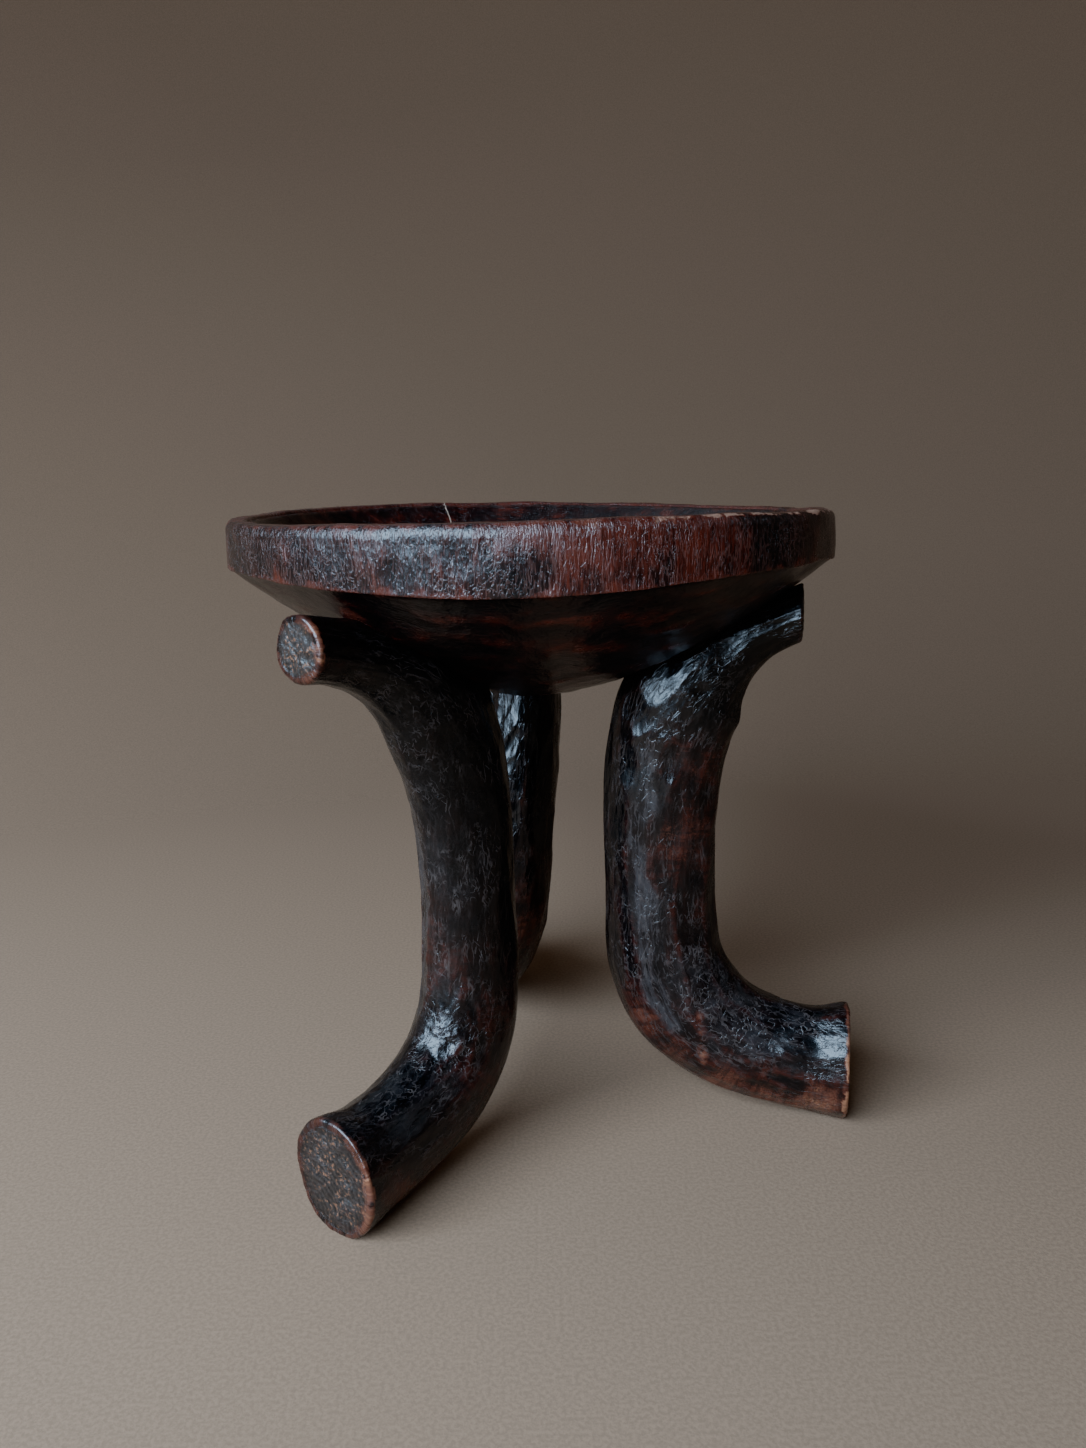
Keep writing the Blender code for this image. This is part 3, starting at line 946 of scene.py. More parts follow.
@dataclass
class CarvedSeat:
    """The round dish: a bowl under an upright band, with a worn rim and a hollow for the sitter."""

    rim_radius: float = 0.1500
    rim_height: float = 0.3232
    band_height: float = 0.0250
    bowl_depth: float = 0.0940
    underside_power: float = 1.75
    rim_width: float = 0.0115
    rim_round: float = 0.0030
    rim_fall: float = 0.0055
    band_round: float = 0.0014
    band_bulge: float = 0.0002
    dish_depth: float = 0.0560
    dish_power: float = 2.30
    rim_tilt: float = 0.0012
    rim_tilt_azimuth: float = 165.0
    rim_wave: float = 0.0016
    rim_waves: int = 2
    rim_wave_azimuth: float = 118.0
    band_wave: float = 0.0030
    band_waves: int = 3
    band_wave_azimuth: float = 85.0
    columns: int = 600
    underside_rows: int = 54
    band_rows: int = 20
    edge_rows: int = 10
    rim_rows: int = 5
    dish_rows: int = 52
    underside_work: AdzeWork = AdzeWork(11, 0.0058, 0.030, 0.00080, 0.030, 0.0075, turn=12.0)
    band_work: AdzeWork = AdzeWork(12, 0.0042, 0.016, 0.00020, 0.0050, 0.012, turn=6.0)
    dish_work: AdzeWork = AdzeWork(13, 0.0085, 0.024, 0.00030, 0.026, 0.012, turn=20.0)
    underside_crowding: float = 0.85
    dish_crowding: float = 1.15
    fold_angle: float = -62.0
    lip_angle: float = 150.0
    plain_reach: float = 0.030
    wave_height: float = 0.00022
    wave_length: float = 0.045
    wave_seed: int = 21
    crest_depth: float = 0.00016
    worn_edges: tuple[WornEdge, ...] = (
        WornEdge("fold", 0.5, 0.0011, 0.38, 0.50),
        WornEdge("edge", 0.80, 0.0009, 0.40, 1.16),
        WornEdge("rim", 0.5, 0.0050, 0.34, 0.50),
    )
    worn_facing: float = -36.0
    worn_core: float = 1.6
    ragged: float = 0.0012
    ragged_length: float = 0.012
    ragged_seed: int = 31
    underside_soot: float = 0.22
    dish_soot: float = 0.02
    soot_blur: int = 4
    spot_seed: int = 32
    crack_azimuth: float = 113.0
    crack_width: float = 0.0011
    crack_sway: float = 0.0040
    crack_drop: float = 0.0300
    spots: tuple[RubSpot, ...] = ()

    def crack(self) -> Crack:
        """The hairline crack from the middle of the rim down into the hollow."""
        section, rows = self.profile()
        start = float(distance_along(section)[rows["rim"].start])
        place = math.radians(self.crack_azimuth) * self.rim_radius
        return Crack(place, self.crack_width / 2.0, self.crack_sway, start, start + self.crack_drop)

    def underside_height(self, reach: np.ndarray) -> np.ndarray:
        """Height of the bowl's underside at a distance from the axis."""
        bottom = self.rim_height - self.bowl_depth
        foot = self.rim_height - self.band_height
        return bottom + (foot - bottom) * np.minimum(reach / self.rim_radius, 1.0) ** self.underside_power

    def dish_height(self, reach: np.ndarray) -> np.ndarray:
        """Height of the dish's hollow at a distance from the axis."""
        share = reach / (self.rim_radius - self.rim_width)
        return self.rim_height - self.dish_depth + self.dish_depth * share ** self.dish_power

    def lift(self, reach: np.ndarray, height: np.ndarray, azimuth: np.ndarray) -> np.ndarray:
        """How far the uneven rim lifts a point of the seat."""
        top = self.rim_tilt * np.cos(azimuth - math.radians(self.rim_tilt_azimuth))
        top = top + self.rim_wave * np.cos(self.rim_waves * (azimuth - math.radians(self.rim_wave_azimuth)))
        low = self.band_wave * np.cos(self.band_waves * (azimuth - math.radians(self.band_wave_azimuth)))
        share = np.clip((height - self.rim_height + self.band_height) / self.band_height, 0.0, 1.0)
        return (share * top + (1.0 - share) * low) * (reach / self.rim_radius) ** 2

    def profile(self) -> tuple[np.ndarray, dict[str, slice]]:
        """The dish's section from the bottom of the bowl to the floor of the hollow.

        Returns:
            The section's points as reach and height, and the rows of each stretch by name.
        """
        runs: dict[str, np.ndarray] = {}
        share = np.linspace(0.0, 1.0, self.underside_rows) ** self.underside_crowding
        reach = (self.rim_radius - self.band_round) * share
        runs["underside"] = np.stack([reach, self.underside_height(reach)], 1)
        corner = np.array([self.rim_radius - self.band_round, runs["underside"][-1, 1] + self.band_round])
        runs["fold"] = self.arc(corner, self.band_round, self.fold_angle, 0.0)[1:]
        top = self.rim_height - self.rim_round
        shoulder = self.rim_height - self.rim_fall
        height = np.linspace(corner[1], shoulder, self.band_rows + 2)[1:-1]
        bulge = self.band_bulge * np.sin(np.linspace(0.0, math.pi, self.band_rows))
        runs["band"] = np.stack([self.rim_radius + bulge, height], 1)
        edge = self.arc(np.array([self.rim_radius - self.rim_round, 0.0]), self.rim_round, 0.0, 90.0)
        runs["edge"] = edge * np.array([1.0, self.rim_fall / self.rim_round]) + np.array([0.0, shoulder])
        inside = self.rim_radius - self.rim_width
        lip = self.arc(np.array([inside + self.rim_round, top]), self.rim_round, 90.0, self.lip_angle)
        flat = np.linspace(runs["edge"][-1], lip[0], self.rim_rows + 2)[1:-1]
        runs["rim"] = np.concatenate([flat, lip])
        reach = inside * (1.0 - np.linspace(0.0, 1.0, self.dish_rows + 1)[1:] ** self.dish_crowding)
        runs["dish"] = np.stack([reach, self.dish_height(reach)], 1)
        rows: dict[str, slice] = {}
        start = 0
        for name, run in runs.items():
            rows[name] = slice(start, start + len(run))
            start += len(run)
        return np.concatenate(list(runs.values())), rows

    def arc(self, centre: np.ndarray, radius: float, start: float, end: float) -> np.ndarray:
        """Points of a round edge of the section, with its angles in degrees."""
        angle = np.radians(np.linspace(start, end, self.edge_rows))
        return centre + radius * np.stack([np.cos(angle), np.sin(angle)], 1)

    def skin(self) -> Skin:
        """Shape, carve and mark the whole dish.

        Returns:
            The finished skin, round the seat's axis.
        """
        section, rows = self.profile()
        azimuth = math.pi / 2.0 + np.linspace(0.0, 2.0 * math.pi, self.columns, endpoint=False)
        length, turn = np.meshgrid(distance_along(section), azimuth, indexing="ij")
        reach = np.repeat(section[:, :1], self.columns, axis=1)
        height = np.repeat(section[:, 1:], self.columns, axis=1)
        height = height + self.lift(reach, height, turn)
        skin = Skin(np.stack([reach * np.cos(turn), reach * np.sin(turn), height], -1))
        around = self.rim_radius * turn
        skin.layers[Layer.LAY] = np.concatenate([skin.points[..., :2], length[..., None]], -1)
        skin.layers[Layer.FLAT] = np.stack([around, length, np.zeros_like(length)], -1)
        carved = self.carve(skin, rows, around, length)
        skin.push(carved)
        skin.mark_crests(carved, self.crest_depth)
        self.mark(skin, rows, length)
        return skin

    def carve(
        self, skin: Skin, rows: dict[str, slice], around: np.ndarray, length: np.ndarray,
    ) -> np.ndarray:
        """Height of the tool work over the whole dish.

        Args:
            skin: The uncut skin.
            rows: Rows of each stretch.
            around: Distance round the rim for each point.
            length: Distance along the section for each point.

        Returns:
            The carved height.
        """
        girth = 2.0 * math.pi * self.rim_radius
        height = np.zeros(length.shape)
        for part, work in (
            (rows["underside"], self.underside_work.crosswise()),
            (slice(rows["fold"].start, rows["edge"].stop), self.band_work),
            (rows["dish"], self.dish_work.crosswise()),
        ):
            height[part] += work.cut(around[part], length[part], girth)
        height += self.wave_height * ripple(skin.points, self.wave_length, self.wave_seed)
        fade = smooth_step(np.hypot(skin.points[..., 0], skin.points[..., 1]) / self.plain_reach)
        return Skin.softened(height, 1) * fade

    def mark(self, skin: Skin, rows: dict[str, slice], length: np.ndarray) -> None:
        """Mark worn edges, sooty hollows and worn places.

        Args:
            skin: The carved skin.
            rows: Rows of each stretch.
            length: Distance along the section for each point.
        """
        ragged = self.ragged * ripple(skin.points, self.ragged_length, self.ragged_seed)
        bearing = np.arctan2(skin.points[..., 1], skin.points[..., 0])
        toward = np.maximum(np.cos(bearing - math.radians(self.worn_facing)), 0.0)
        rub, soot, sweep = (np.zeros(length.shape) for _ in range(3))
        for edge in self.worn_edges:
            first, last = length[rows[edge.stretch].start], length[rows[edge.stretch].stop - 1]
            middle = first * (1.0 - edge.share) + last * edge.share
            distance = np.abs(length - middle) + ragged
            amount = edge.least + (edge.most - edge.least) * toward ** 2
            rub = np.maximum(rub, amount * smooth_step(self.worn_core - distance / edge.half_width))
        for stretch, smoked in (("underside", self.underside_soot), ("dish", self.dish_soot)):
            soot[rows[stretch]] = smoked
            sweep[rows[stretch]] = 1.0
        skin.layers |= {
            Layer.RUB: rub, Layer.SOOT: Skin.softened(soot, self.soot_blur), Layer.SWEEP: sweep,
            Layer.ENDS: np.zeros(length.shape), Layer.HAZE: np.zeros(length.shape),
        }
        skin.mark_spots(self.spots, self.spot_seed)

    def dress(self, finish: bpy.types.Material, shift: np.ndarray) -> bpy.types.Object:
        """Build the seat, give it its finish and set it on the frame.

        Args:
            finish: The seat's material.
            shift: Where the seat's axis stands in the frame.

        Returns:
            The finished piece.
        """
        piece = self.skin().build("carved_seat", shift)
        return settle(piece, finish, "seat_dish")


@dataclass
class CarvedLeg:
    """One C-shaped leg, with a sawn stub under the rim and a sawn foot.

    Bearings, leans and rises are in degrees. A reach is measured from the seat's axis, a drop from the
    bowl's underside straight above, and a bend along the stretch over which the leg turns.
    """

    node: str
    azimuth: float
    foot_reach: float
    foot_height: float
    foot_bend: float
    heel_bend: float
    shaft_reach: float
    shaft_depth: float
    shaft_width: float
    neck_depth: float
    stub_bend: float
    stub_rise: float
    stub_reach: float
    stub_drop: float
    stub_depth: float
    stub_width: float
    work: tuple[AdzeWork | FlatStrip, ...]
    neck_drop: float = 0.0
    lean: float = 0.0
    spots: tuple[RubSpot, ...] = ()
    seed: int = 0
    foot_width: float = 0.0510
    foot_throat: float = 0.0240
    foot_flare: float = 0.0032
    foot_side_flare: float = 0.0016
    heel_swell: float = 0.0027
    waist_height: float = 0.1300
    heel_share: float = 0.50
    neck_share: float = 0.45
    stub_share: float = 0.90
    sole_flat: float = 0.0015
    edge_round: float = 0.0020
    edge_rub: float = 0.90
    stub_rub: float = 0.90
    worn_facing: float = 90.0
    worn_width: float = 0.0016
    cope_inset: float = 0.0012
    columns: int = 168
    body_rows: int = 430
    face_rows: int = 20
    edge_rows: int = 7
    samples: int = 300
    stub_from: float = 0.8
    chip_wave: float = 0.9
    chip_size: float = 0.20
    chip_range: tuple[float, float] = (0.5, 1.8)
    face_power: int = 8
    end_cut: float = 0.3
    end_fade: float = 0.016
    wave_height: float = 0.00022
    wave_length: float = 0.030
    wave_draw: float = 0.5
    saw_length: float = 0.011
    crest_depth: float = 0.00022
    ragged: float = 0.0006
    ragged_length: float = 0.010
    face_wear: float = 0.0012
    side_wear: float = 0.0009
    worn_least: float = 0.62
    worn_core: float = 1.4

    def axes(self) -> tuple[np.ndarray, np.ndarray]:
        """Directions straight out from the seat's axis, and sideways."""
        bearing = math.radians(self.azimuth)
        outward = np.array([math.cos(bearing), math.sin(bearing), 0.0])
        aside = np.array([-math.sin(bearing), math.cos(bearing), 0.0])
        return outward, aside

    def curves(self, seat: CarvedSeat) -> tuple[np.ndarray, np.ndarray]:
        """Corner points of the centre line's two curves: from foot to waist, and from waist to stub."""
        foot = np.array([self.foot_reach, (self.foot_height - self.sole_flat) / 2.0])
        waist = np.array([self.shaft_reach, self.waist_height])
        rise = math.radians(self.stub_rise)
        heading = np.array([math.cos(rise), math.sin(rise)])
        sawn = np.array([self.stub_reach, seat.underside_height(self.stub_reach) - self.stub_drop])
        stub = sawn + heading * self.stub_depth / 2.0
        neck = np.array([self.shaft_reach, seat.underside_height(self.shaft_reach) - self.neck_drop])
        heel = waist - np.array([0.0, self.heel_bend])
        lower = np.stack([foot, foot - np.array([self.foot_bend, 0.0]), heel, waist])
        upper = np.stack([waist, neck, stub - heading * self.stub_bend, stub])
        return lower, upper

    @staticmethod
    def bezier(corners: np.ndarray, share: np.ndarray) -> tuple[np.ndarray, np.ndarray]:
        """Points and unit slopes of a cubic curve."""
        rest = 1.0 - share
        weights = np.stack([rest ** 3, 3.0 * rest ** 2 * share, 3.0 * rest * share ** 2, share ** 3], 1)
        slopes = np.stack([rest ** 2, 2.0 * rest * share, share ** 2], 1) @ np.diff(corners, axis=0)
        return weights @ corners, slopes / np.linalg.norm(slopes, axis=1, keepdims=True)

    def sections(self, upper: bool, share: np.ndarray) -> np.ndarray:
        """Half depth and half width of the leg along one of its curves."""
        foot = np.array([self.foot_height + self.sole_flat, self.foot_width]) / 2.0
        throat = foot - np.array([self.foot_flare, self.foot_side_flare])
        shaft = np.array([self.shaft_depth, self.shaft_width]) / 2.0
        heel = shaft + self.heel_swell
        neck = np.array([self.neck_depth, self.shaft_width]) / 2.0
        stub = np.array([self.stub_depth, self.stub_width]) / 2.0
        throat_share = self.foot_throat / (3.0 * self.foot_bend)
        if upper:
            steps = ((0.0, shaft), (self.neck_share, neck), (self.stub_share, stub))
        else:
            steps = ((0.0, foot), (throat_share, throat), (self.heel_share, heel), (1.0, shaft))
        sizes = np.repeat(steps[0][1][None, :], len(share), axis=0)
        for (before, size), (after, next_size) in zip(steps, steps[1:]):
            part = smooth_step((share - before) / (after - before))[:, None]
            sizes = np.where(share[:, None] >= before, size + (next_size - size) * part, sizes)
        return sizes

    def turns(self) -> np.ndarray:
        """Angles of the columns round the leg."""
        return np.linspace(-math.pi, math.pi, self.columns, endpoint=False)

    def tube(self, seat: CarvedSeat) -> tuple[np.ndarray, np.ndarray, np.ndarray]:
        """The uncut leg as lines along its length.

        Args:
            seat: The dish over the leg.

        Returns:
            Points by sample and column, offsets from the centre line, and distance along it.
        """
        outward, aside = self.axes()
        turn = self.turns()
        share = np.linspace(0.0, 1.0, self.samples)
        points, offsets, centres = [], [], []
        for upper, corners in enumerate(self.curves(seat)):
            middle, slope = self.bezier(corners, share)
            sizes = self.sections(bool(upper), share)
            middle, slope, sizes = middle[upper:], slope[upper:], sizes[upper:]
            across = outward * slope[:, 1:] - UP * slope[:, :1]
            sideways = (middle[:, 1] - self.waist_height) * math.tan(math.radians(self.lean))
            centre = outward * middle[:, :1] + aside * sideways[:, None] + UP * middle[:, 1:]
            offset = np.stack([sizes[:, :1] * np.cos(turn), sizes[:, 1:] * np.sin(turn)], -1)
            points.append(centre[:, None] + across[:, None] * offset[..., :1] + aside * offset[..., 1:])
            offsets.append(offset)
            centres.append(centre)
        return np.concatenate(points), np.concatenate(offsets), distance_along(np.concatenate(centres))

    def skin(self, seat: CarvedSeat) -> Skin:
        """Shape, carve and mark the whole leg.

        Args:
            seat: The dish that the leg's top is coped to.

        Returns:
            The finished skin, round the seat's axis.
        """
        outward, _ = self.axes()
        tube, offset, length = self.tube(seat)
        turn = self.turns()
        reach = tube @ outward
        late = int(self.stub_from * len(length))
        sawn = np.array([
            np.interp(self.stub_reach, reach[late:, k], length[late:]) for k in range(self.columns)
        ])
        circle = np.stack([np.cos(turn), np.sin(turn)], -1)
        chips = ripple(circle, self.chip_wave, self.seed + LegSeed.CHIPS, FINE_OCTAVES)
        edge = self.edge_round * np.clip(1.0 + self.chip_size * chips, *self.chip_range)
        share = np.linspace(0.0, 1.0, self.body_rows)[:, None]
        station = edge + share * (sawn - 2.0 * edge)
        lines = np.concatenate([tube, offset], -1)
        drawn = np.empty((*station.shape, lines.shape[-1]))
        for k, axis in np.ndindex(lines.shape[1:]):
            drawn[:, k, axis] = np.interp(station[:, k], length, lines[:, k, axis])
        body, cross = drawn[..., :3], drawn[..., 3:]
        foot = self.face(body[0], body[0] - body[1], edge)
        stub = self.face(body[-1], body[-1] - body[-2], edge)
        skin = Skin(np.concatenate([foot[::-1], body, stub]))
        inner = np.concatenate([np.ones(self.edge_rows), np.linspace(1.0, 0.0, self.face_rows)])
        cross = np.concatenate([
            cross[0] * inner[::-1, None, None], cross, cross[-1] * inner[:, None, None],
        ])
        along = np.pad(station, ((len(foot), len(stub)), (0, 0)), mode="edge")
        sawn_share = 1.0 - inner ** self.face_power
        ends = np.concatenate([sawn_share[::-1], np.zeros(self.body_rows), sawn_share])
        ends = np.repeat(ends[:, None], self.columns, axis=1)
        skin.layers[Layer.LAY] = np.concatenate([cross, along[..., None]], -1)
        around = np.repeat(turn[None, :], len(along), axis=0) * self.shaft_width / 2.0
        on_face = np.stack([cross[..., 0] + FACE_SHIFT, cross[..., 1]], -1)
        unrolled = np.where(ends[..., None] > FACE_SHARE, on_face, np.stack([around, along], -1))
        skin.layers[Layer.FLAT] = np.concatenate([unrolled, np.zeros_like(along)[..., None]], -1)
        self.carve(skin, around, along, ends)
        girth = math.pi * self.shaft_width
        # Painted pale sheen on the flat strips, standing in for their reflection of the light.
        strip_sheen = [work.painted_sheen(around, along, girth) for work in self.work if isinstance(work, FlatStrip)]
        skin.layers[Layer.HAZE] = np.max([np.zeros(along.shape), *strip_sheen], axis=0) * (1.0 - ends)
        self.mark(skin, sawn, edge, along, ends)
        self.fit(skin, seat)
        return skin

    def face(self, rim: np.ndarray, heading: np.ndarray, edge: np.ndarray) -> np.ndarray:
        """Rows that close an end of the leg: a round worn edge and the sawn face inside it.

        Args:
            rim: The last points of the leg's body.
            heading: Directions in which the body runs out at those points.
            edge: Radius of the worn edge at each of them.

        Returns:
            Rows of points from the edge to the middle of the face.
        """
        ahead = heading / np.linalg.norm(heading, axis=1, keepdims=True)
        corner = rim + ahead * edge[:, None]
        middle = corner.mean(axis=0)
        inward = middle - corner
        inward /= np.linalg.norm(inward, axis=1, keepdims=True)
        angle = np.linspace(0.0, math.pi / 2.0, self.edge_rows + 1)[1:, None, None]
        rounded = corner + edge[:, None] * (ahead * (np.sin(angle) - 1.0) + inward * (1.0 - np.cos(angle)))
        share = np.linspace(0.0, 1.0, self.face_rows + 1)[1:, None, None]
        closed = rounded[-1] + (middle - rounded[-1]) * share
        return np.concatenate([rounded, closed])

    def carve(self, skin: Skin, around: np.ndarray, along: np.ndarray, ends: np.ndarray) -> None:
        """Cut the leg with adze strokes and give its sawn ends their unevenness.

        Args:
            skin: The uncut skin.
            around: Distance round the leg for each point.
            along: Distance along the leg for each point.
            ends: Share of each point that lies on a sawn end.
        """
        girth = math.pi * self.shaft_width
        height = np.min([work.cut(around, along, girth) for work in self.work], axis=0)
        ahead = np.minimum(along - along.min(), along.max() - along)
        height *= self.end_cut + (1.0 - self.end_cut) * smooth_step(ahead / self.end_fade)
        lay = skin.layers[Layer.LAY]
        drawn = lay * np.array([1.0, 1.0, self.wave_draw])
        height += self.wave_height * ripple(drawn, self.wave_length, self.seed + LegSeed.WAVES)
        sawn = ripple(lay[..., :2], self.saw_length, self.seed + LegSeed.SAWN, FINE_OCTAVES)
        height = height * (1.0 - ends) + self.wave_height * sawn * ends
        skin.push(height)
        skin.mark_crests(height, self.crest_depth)

    def mark(
        self, skin: Skin, sawn: np.ndarray, edge: np.ndarray, along: np.ndarray, ends: np.ndarray,
    ) -> None:
        """Mark worn edges and places.

        Args:
            skin: The carved skin.
            sawn: Distance along the leg at which each column ends.
            edge: Radius of the worn edge of each column.
            along: Distance along the leg for each point.
            ends: Share of each point that lies on a sawn end.
        """
        radius = np.linalg.norm(skin.layers[Layer.LAY][..., :2], axis=-1)
        caps = self.face_rows + self.edge_rows
        low = along < sawn / 2.0
        widest = np.where(low, radius[caps], radius[-caps - 1])
        from_edge = np.where(ends > 0.0, widest - radius, np.minimum(along, sawn - along) - edge)
        ragged = self.ragged * ripple(skin.points, self.ragged_length, self.seed + LegSeed.EDGE)
        toward = np.maximum(np.cos(self.turns() - math.radians(self.worn_facing)), 0.0)
        width = np.where(ends > 0.0, self.face_wear + self.worn_width * toward ** 2, self.side_wear)
        amount = np.where(low, self.edge_rub, self.stub_rub)
        amount = amount * (self.worn_least + (1.0 - self.worn_least) * toward)
        worn = smooth_step(self.worn_core - (np.abs(from_edge) + ragged) / width)
        skin.layers |= {
            Layer.RUB: amount * worn, Layer.SOOT: np.zeros(along.shape),
            Layer.SWEEP: np.zeros(along.shape), Layer.ENDS: ends,
        }
        skin.mark_spots(self.spots, self.seed + LegSeed.SPOTS)

    def fit(self, skin: Skin, seat: CarvedSeat) -> None:
        """Cope the leg's top just inside the bowl's underside, and flatten its sole on the floor."""
        reach = np.hypot(skin.points[..., 0], skin.points[..., 1])
        turn = np.arctan2(skin.points[..., 1], skin.points[..., 0])
        under = seat.underside_height(reach)
        under = under + seat.lift(reach, under, turn) + self.cope_inset
        coped = np.minimum(skin.points[..., 2], under)
        high = skin.points[..., 2] > self.waist_height
        skin.points[..., 2] = np.where(high, coped, np.maximum(skin.points[..., 2], 0.0))

    def dress(
        self, seat: CarvedSeat, finish: bpy.types.Material, shift: np.ndarray,
    ) -> bpy.types.Object:
        """Build the leg, give it its finish and set it on the frame.

        Args:
            seat: The dish over the leg.
            finish: The leg's material.
            shift: Where the seat's axis stands in the frame.

        Returns:
            The finished piece.
        """
        piece = self.skin(seat).build("carved_" + self.node, shift)
        return settle(piece, finish, self.node)


def settle(
    piece: bpy.types.Object, finish: bpy.types.Material, node: str,
) -> bpy.types.Object:
    """Give a piece its finish and let it stand for its node of the frame.

    Args:
        piece: The finished piece.
        finish: Its material.
        node: The node that it replaces.

    Returns:
        The same piece.
    """
    piece.data.materials.append(finish)
    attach(piece, "root")
    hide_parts(node)
    LOG.info("%s: %d points, %d faces", piece.name, len(piece.data.vertices), len(piece.data.polygons))
    return piece


SEAT_FINISH = PatinaFinish(
    name="rubbed_seat_patina",
    soot=(0.0028, 0.0025, 0.0029, 1.0), heart=(0.0125, 0.0048, 0.0043, 1.0),
    rubbed=(0.070, 0.0135, 0.0078, 1.0), copper=(0.096, 0.028, 0.017, 1.0), bare=(0.36, 0.190, 0.125, 1.0),
    end_grain=(0.05, 0.03, 0.025, 1.0), scuff_and_glint=(0.125, 0.060, 0.050, 1.0), painted_sheen=(0.030, 0.028, 0.032, 1.0),
    drips=(520.0, 70.0), drip_depth=0.30, nick_tint=0.36, nick_height=0.00013,
    grain=0.14, age=0.04, fineness=900.0, stretch=8.0, streak_height=0.00010,
    dints=DintWork(210.0, 2.4, 0.00022), wrinkles=DintWork(620.0, 1.5, 0.00008),
    lines=LineWork(500.0, (4.6, 1.3), 0.062, 0.00010, 0.36), mark_least=0.55,
    nicks=(
        NickWork(240.0, 0.10, 0.70, 0.0, 20.0, 0.90),
        NickWork(310.0, 0.13, 0.70, 0.0, 24.0, 0.85),
        NickWork(180.0, 0.07, 0.60, 14.0, 80.0, 0.45),
    ),
    gloss=(0.11, 0.20),
)

LEG_FINISH = PatinaFinish(
    name="smoked_leg_patina",
    soot=(0.0021, 0.0022, 0.0026, 1.0), heart=(0.0070, 0.0038, 0.0035, 1.0),
    rubbed=(0.036, 0.0082, 0.0054, 1.0), copper=(0.118, 0.037, 0.0215, 1.0),
    bare=(0.29, 0.120, 0.060, 1.0), end_grain=(0.035, 0.0245, 0.0195, 1.0), scuff_and_glint=(0.082, 0.062, 0.056, 1.0),
    painted_sheen=(0.030, 0.0245, 0.0245, 1.0), drips=(60.0, 380.0), drip_depth=0.65, nick_tint=0.38,
    grain=0.10, age=-0.02, fineness=430.0, stretch=10.0,
    dints=DintWork(150.0, 2.6, 0.00042), wrinkles=DintWork(360.0, 2.2, 0.00016),
    lines=LineWork(290.0, (3.6, 1.5), 0.050, 0.00010, 0.34), mark_least=0.15,
    nicks=(
        NickWork(120.0, 0.046, 0.70, 8.0, 34.0, 0.75),
        NickWork(155.0, 0.055, 0.70, 22.0, 40.0, 0.65),
        NickWork(240.0, 0.080, 0.65, -10.0, 60.0, 0.55),
    ),
    gloss=(0.11, 0.26),
)

SEAT_SPOTS = (
    RubSpot((-0.0032, -0.1499, 0.3175), 0.026, 0.46),
    RubSpot((0.0120, -0.1494, 0.3182), 0.030, 0.50),
    RubSpot((0.0426, -0.1438, 0.3154), 0.036, 0.42),
    RubSpot((0.0669, -0.1341, 0.3105), 0.034, 0.34),
    RubSpot((-0.0054, -0.1498, 0.3037), 0.020, 0.80, Layer.SOOT),
    RubSpot((0.1093, -0.1025, 0.3060), 0.034, 0.45, Layer.SOOT),
    RubSpot((-0.1280, -0.0800, 0.3100), 0.050, 0.35, Layer.SOOT),
    RubSpot((0.0450, -0.1168, 0.2792), 0.070, 0.11),
    RubSpot((0.0118, -0.1189, 0.2740), 0.050, 0.18),
    RubSpot((0.0791, -0.1092, 0.2879), 0.050, 0.05),
    RubSpot((-0.0547, -0.1128, 0.2788), 0.050, 0.22, Layer.SOOT),
    # A small worn patch on the bowl's underside where the left stub meets it, which also paints the
    # highlight on that facet.
    RubSpot((-0.0762, -0.1067, 0.2839), 0.016, 0.70),
)
RIGHT_SPOTS = (
    RubSpot((0.0776, -0.0347, 0.1574), 0.044, 0.50),
    RubSpot((0.0822, -0.0355, 0.1996), 0.036, 0.46),
    RubSpot((0.0524, -0.0290, 0.0548), 0.036, 0.62),
    RubSpot((0.0679, -0.0345, 0.0260), 0.036, 0.70),
    RubSpot((0.0941, -0.0392, 0.0180), 0.042, 0.76),
    RubSpot((0.1198, -0.0441, 0.0120), 0.042, 0.80),
    RubSpot((0.1444, -0.0515, 0.0130), 0.040, 0.84),
    RubSpot((0.0826, -0.0419, 0.0620), 0.0050, 0.74),
    RubSpot((0.0829, -0.0422, 0.0578), 0.0052, 0.78),
    RubSpot((0.0832, -0.0424, 0.0537), 0.0054, 0.80),
    RubSpot((0.0835, -0.0423, 0.0493), 0.0056, 0.82),
    RubSpot((0.0838, -0.0422, 0.0449), 0.0058, 0.84),
    RubSpot((0.0843, -0.0413, 0.0400), 0.0060, 0.86),
    RubSpot((0.0847, -0.0404, 0.0352), 0.0062, 0.88),
    # Painted sheen on the right foot, standing in for its reflection of the light.
    RubSpot((0.0829, -0.0387, 0.0791), 0.022, 0.50, Layer.HAZE),
    RubSpot((0.0989, -0.0383, 0.0672), 0.024, 0.62, Layer.HAZE),
    RubSpot((0.1148, -0.0381, 0.0609), 0.024, 0.66, Layer.HAZE),
    RubSpot((0.1305, -0.0386, 0.0580), 0.022, 0.60, Layer.HAZE),
    RubSpot((0.1137, -0.0447, 0.0502), 0.022, 0.66, Layer.HAZE),
    RubSpot((0.0956, -0.0435, 0.0528), 0.022, 0.50, Layer.HAZE),
    RubSpot((0.0914, -0.0375, 0.2405), 0.045, 0.55, Layer.SOOT),
    RubSpot((0.1105, -0.0379, 0.2600), 0.045, 0.60, Layer.SOOT),
    RubSpot((0.0403, -0.0238, 0.1763), 0.040, 0.35, Layer.SOOT),
    RubSpot((0.1440, -0.0497, 0.0520), 0.024, 0.50, Layer.SOOT),
)
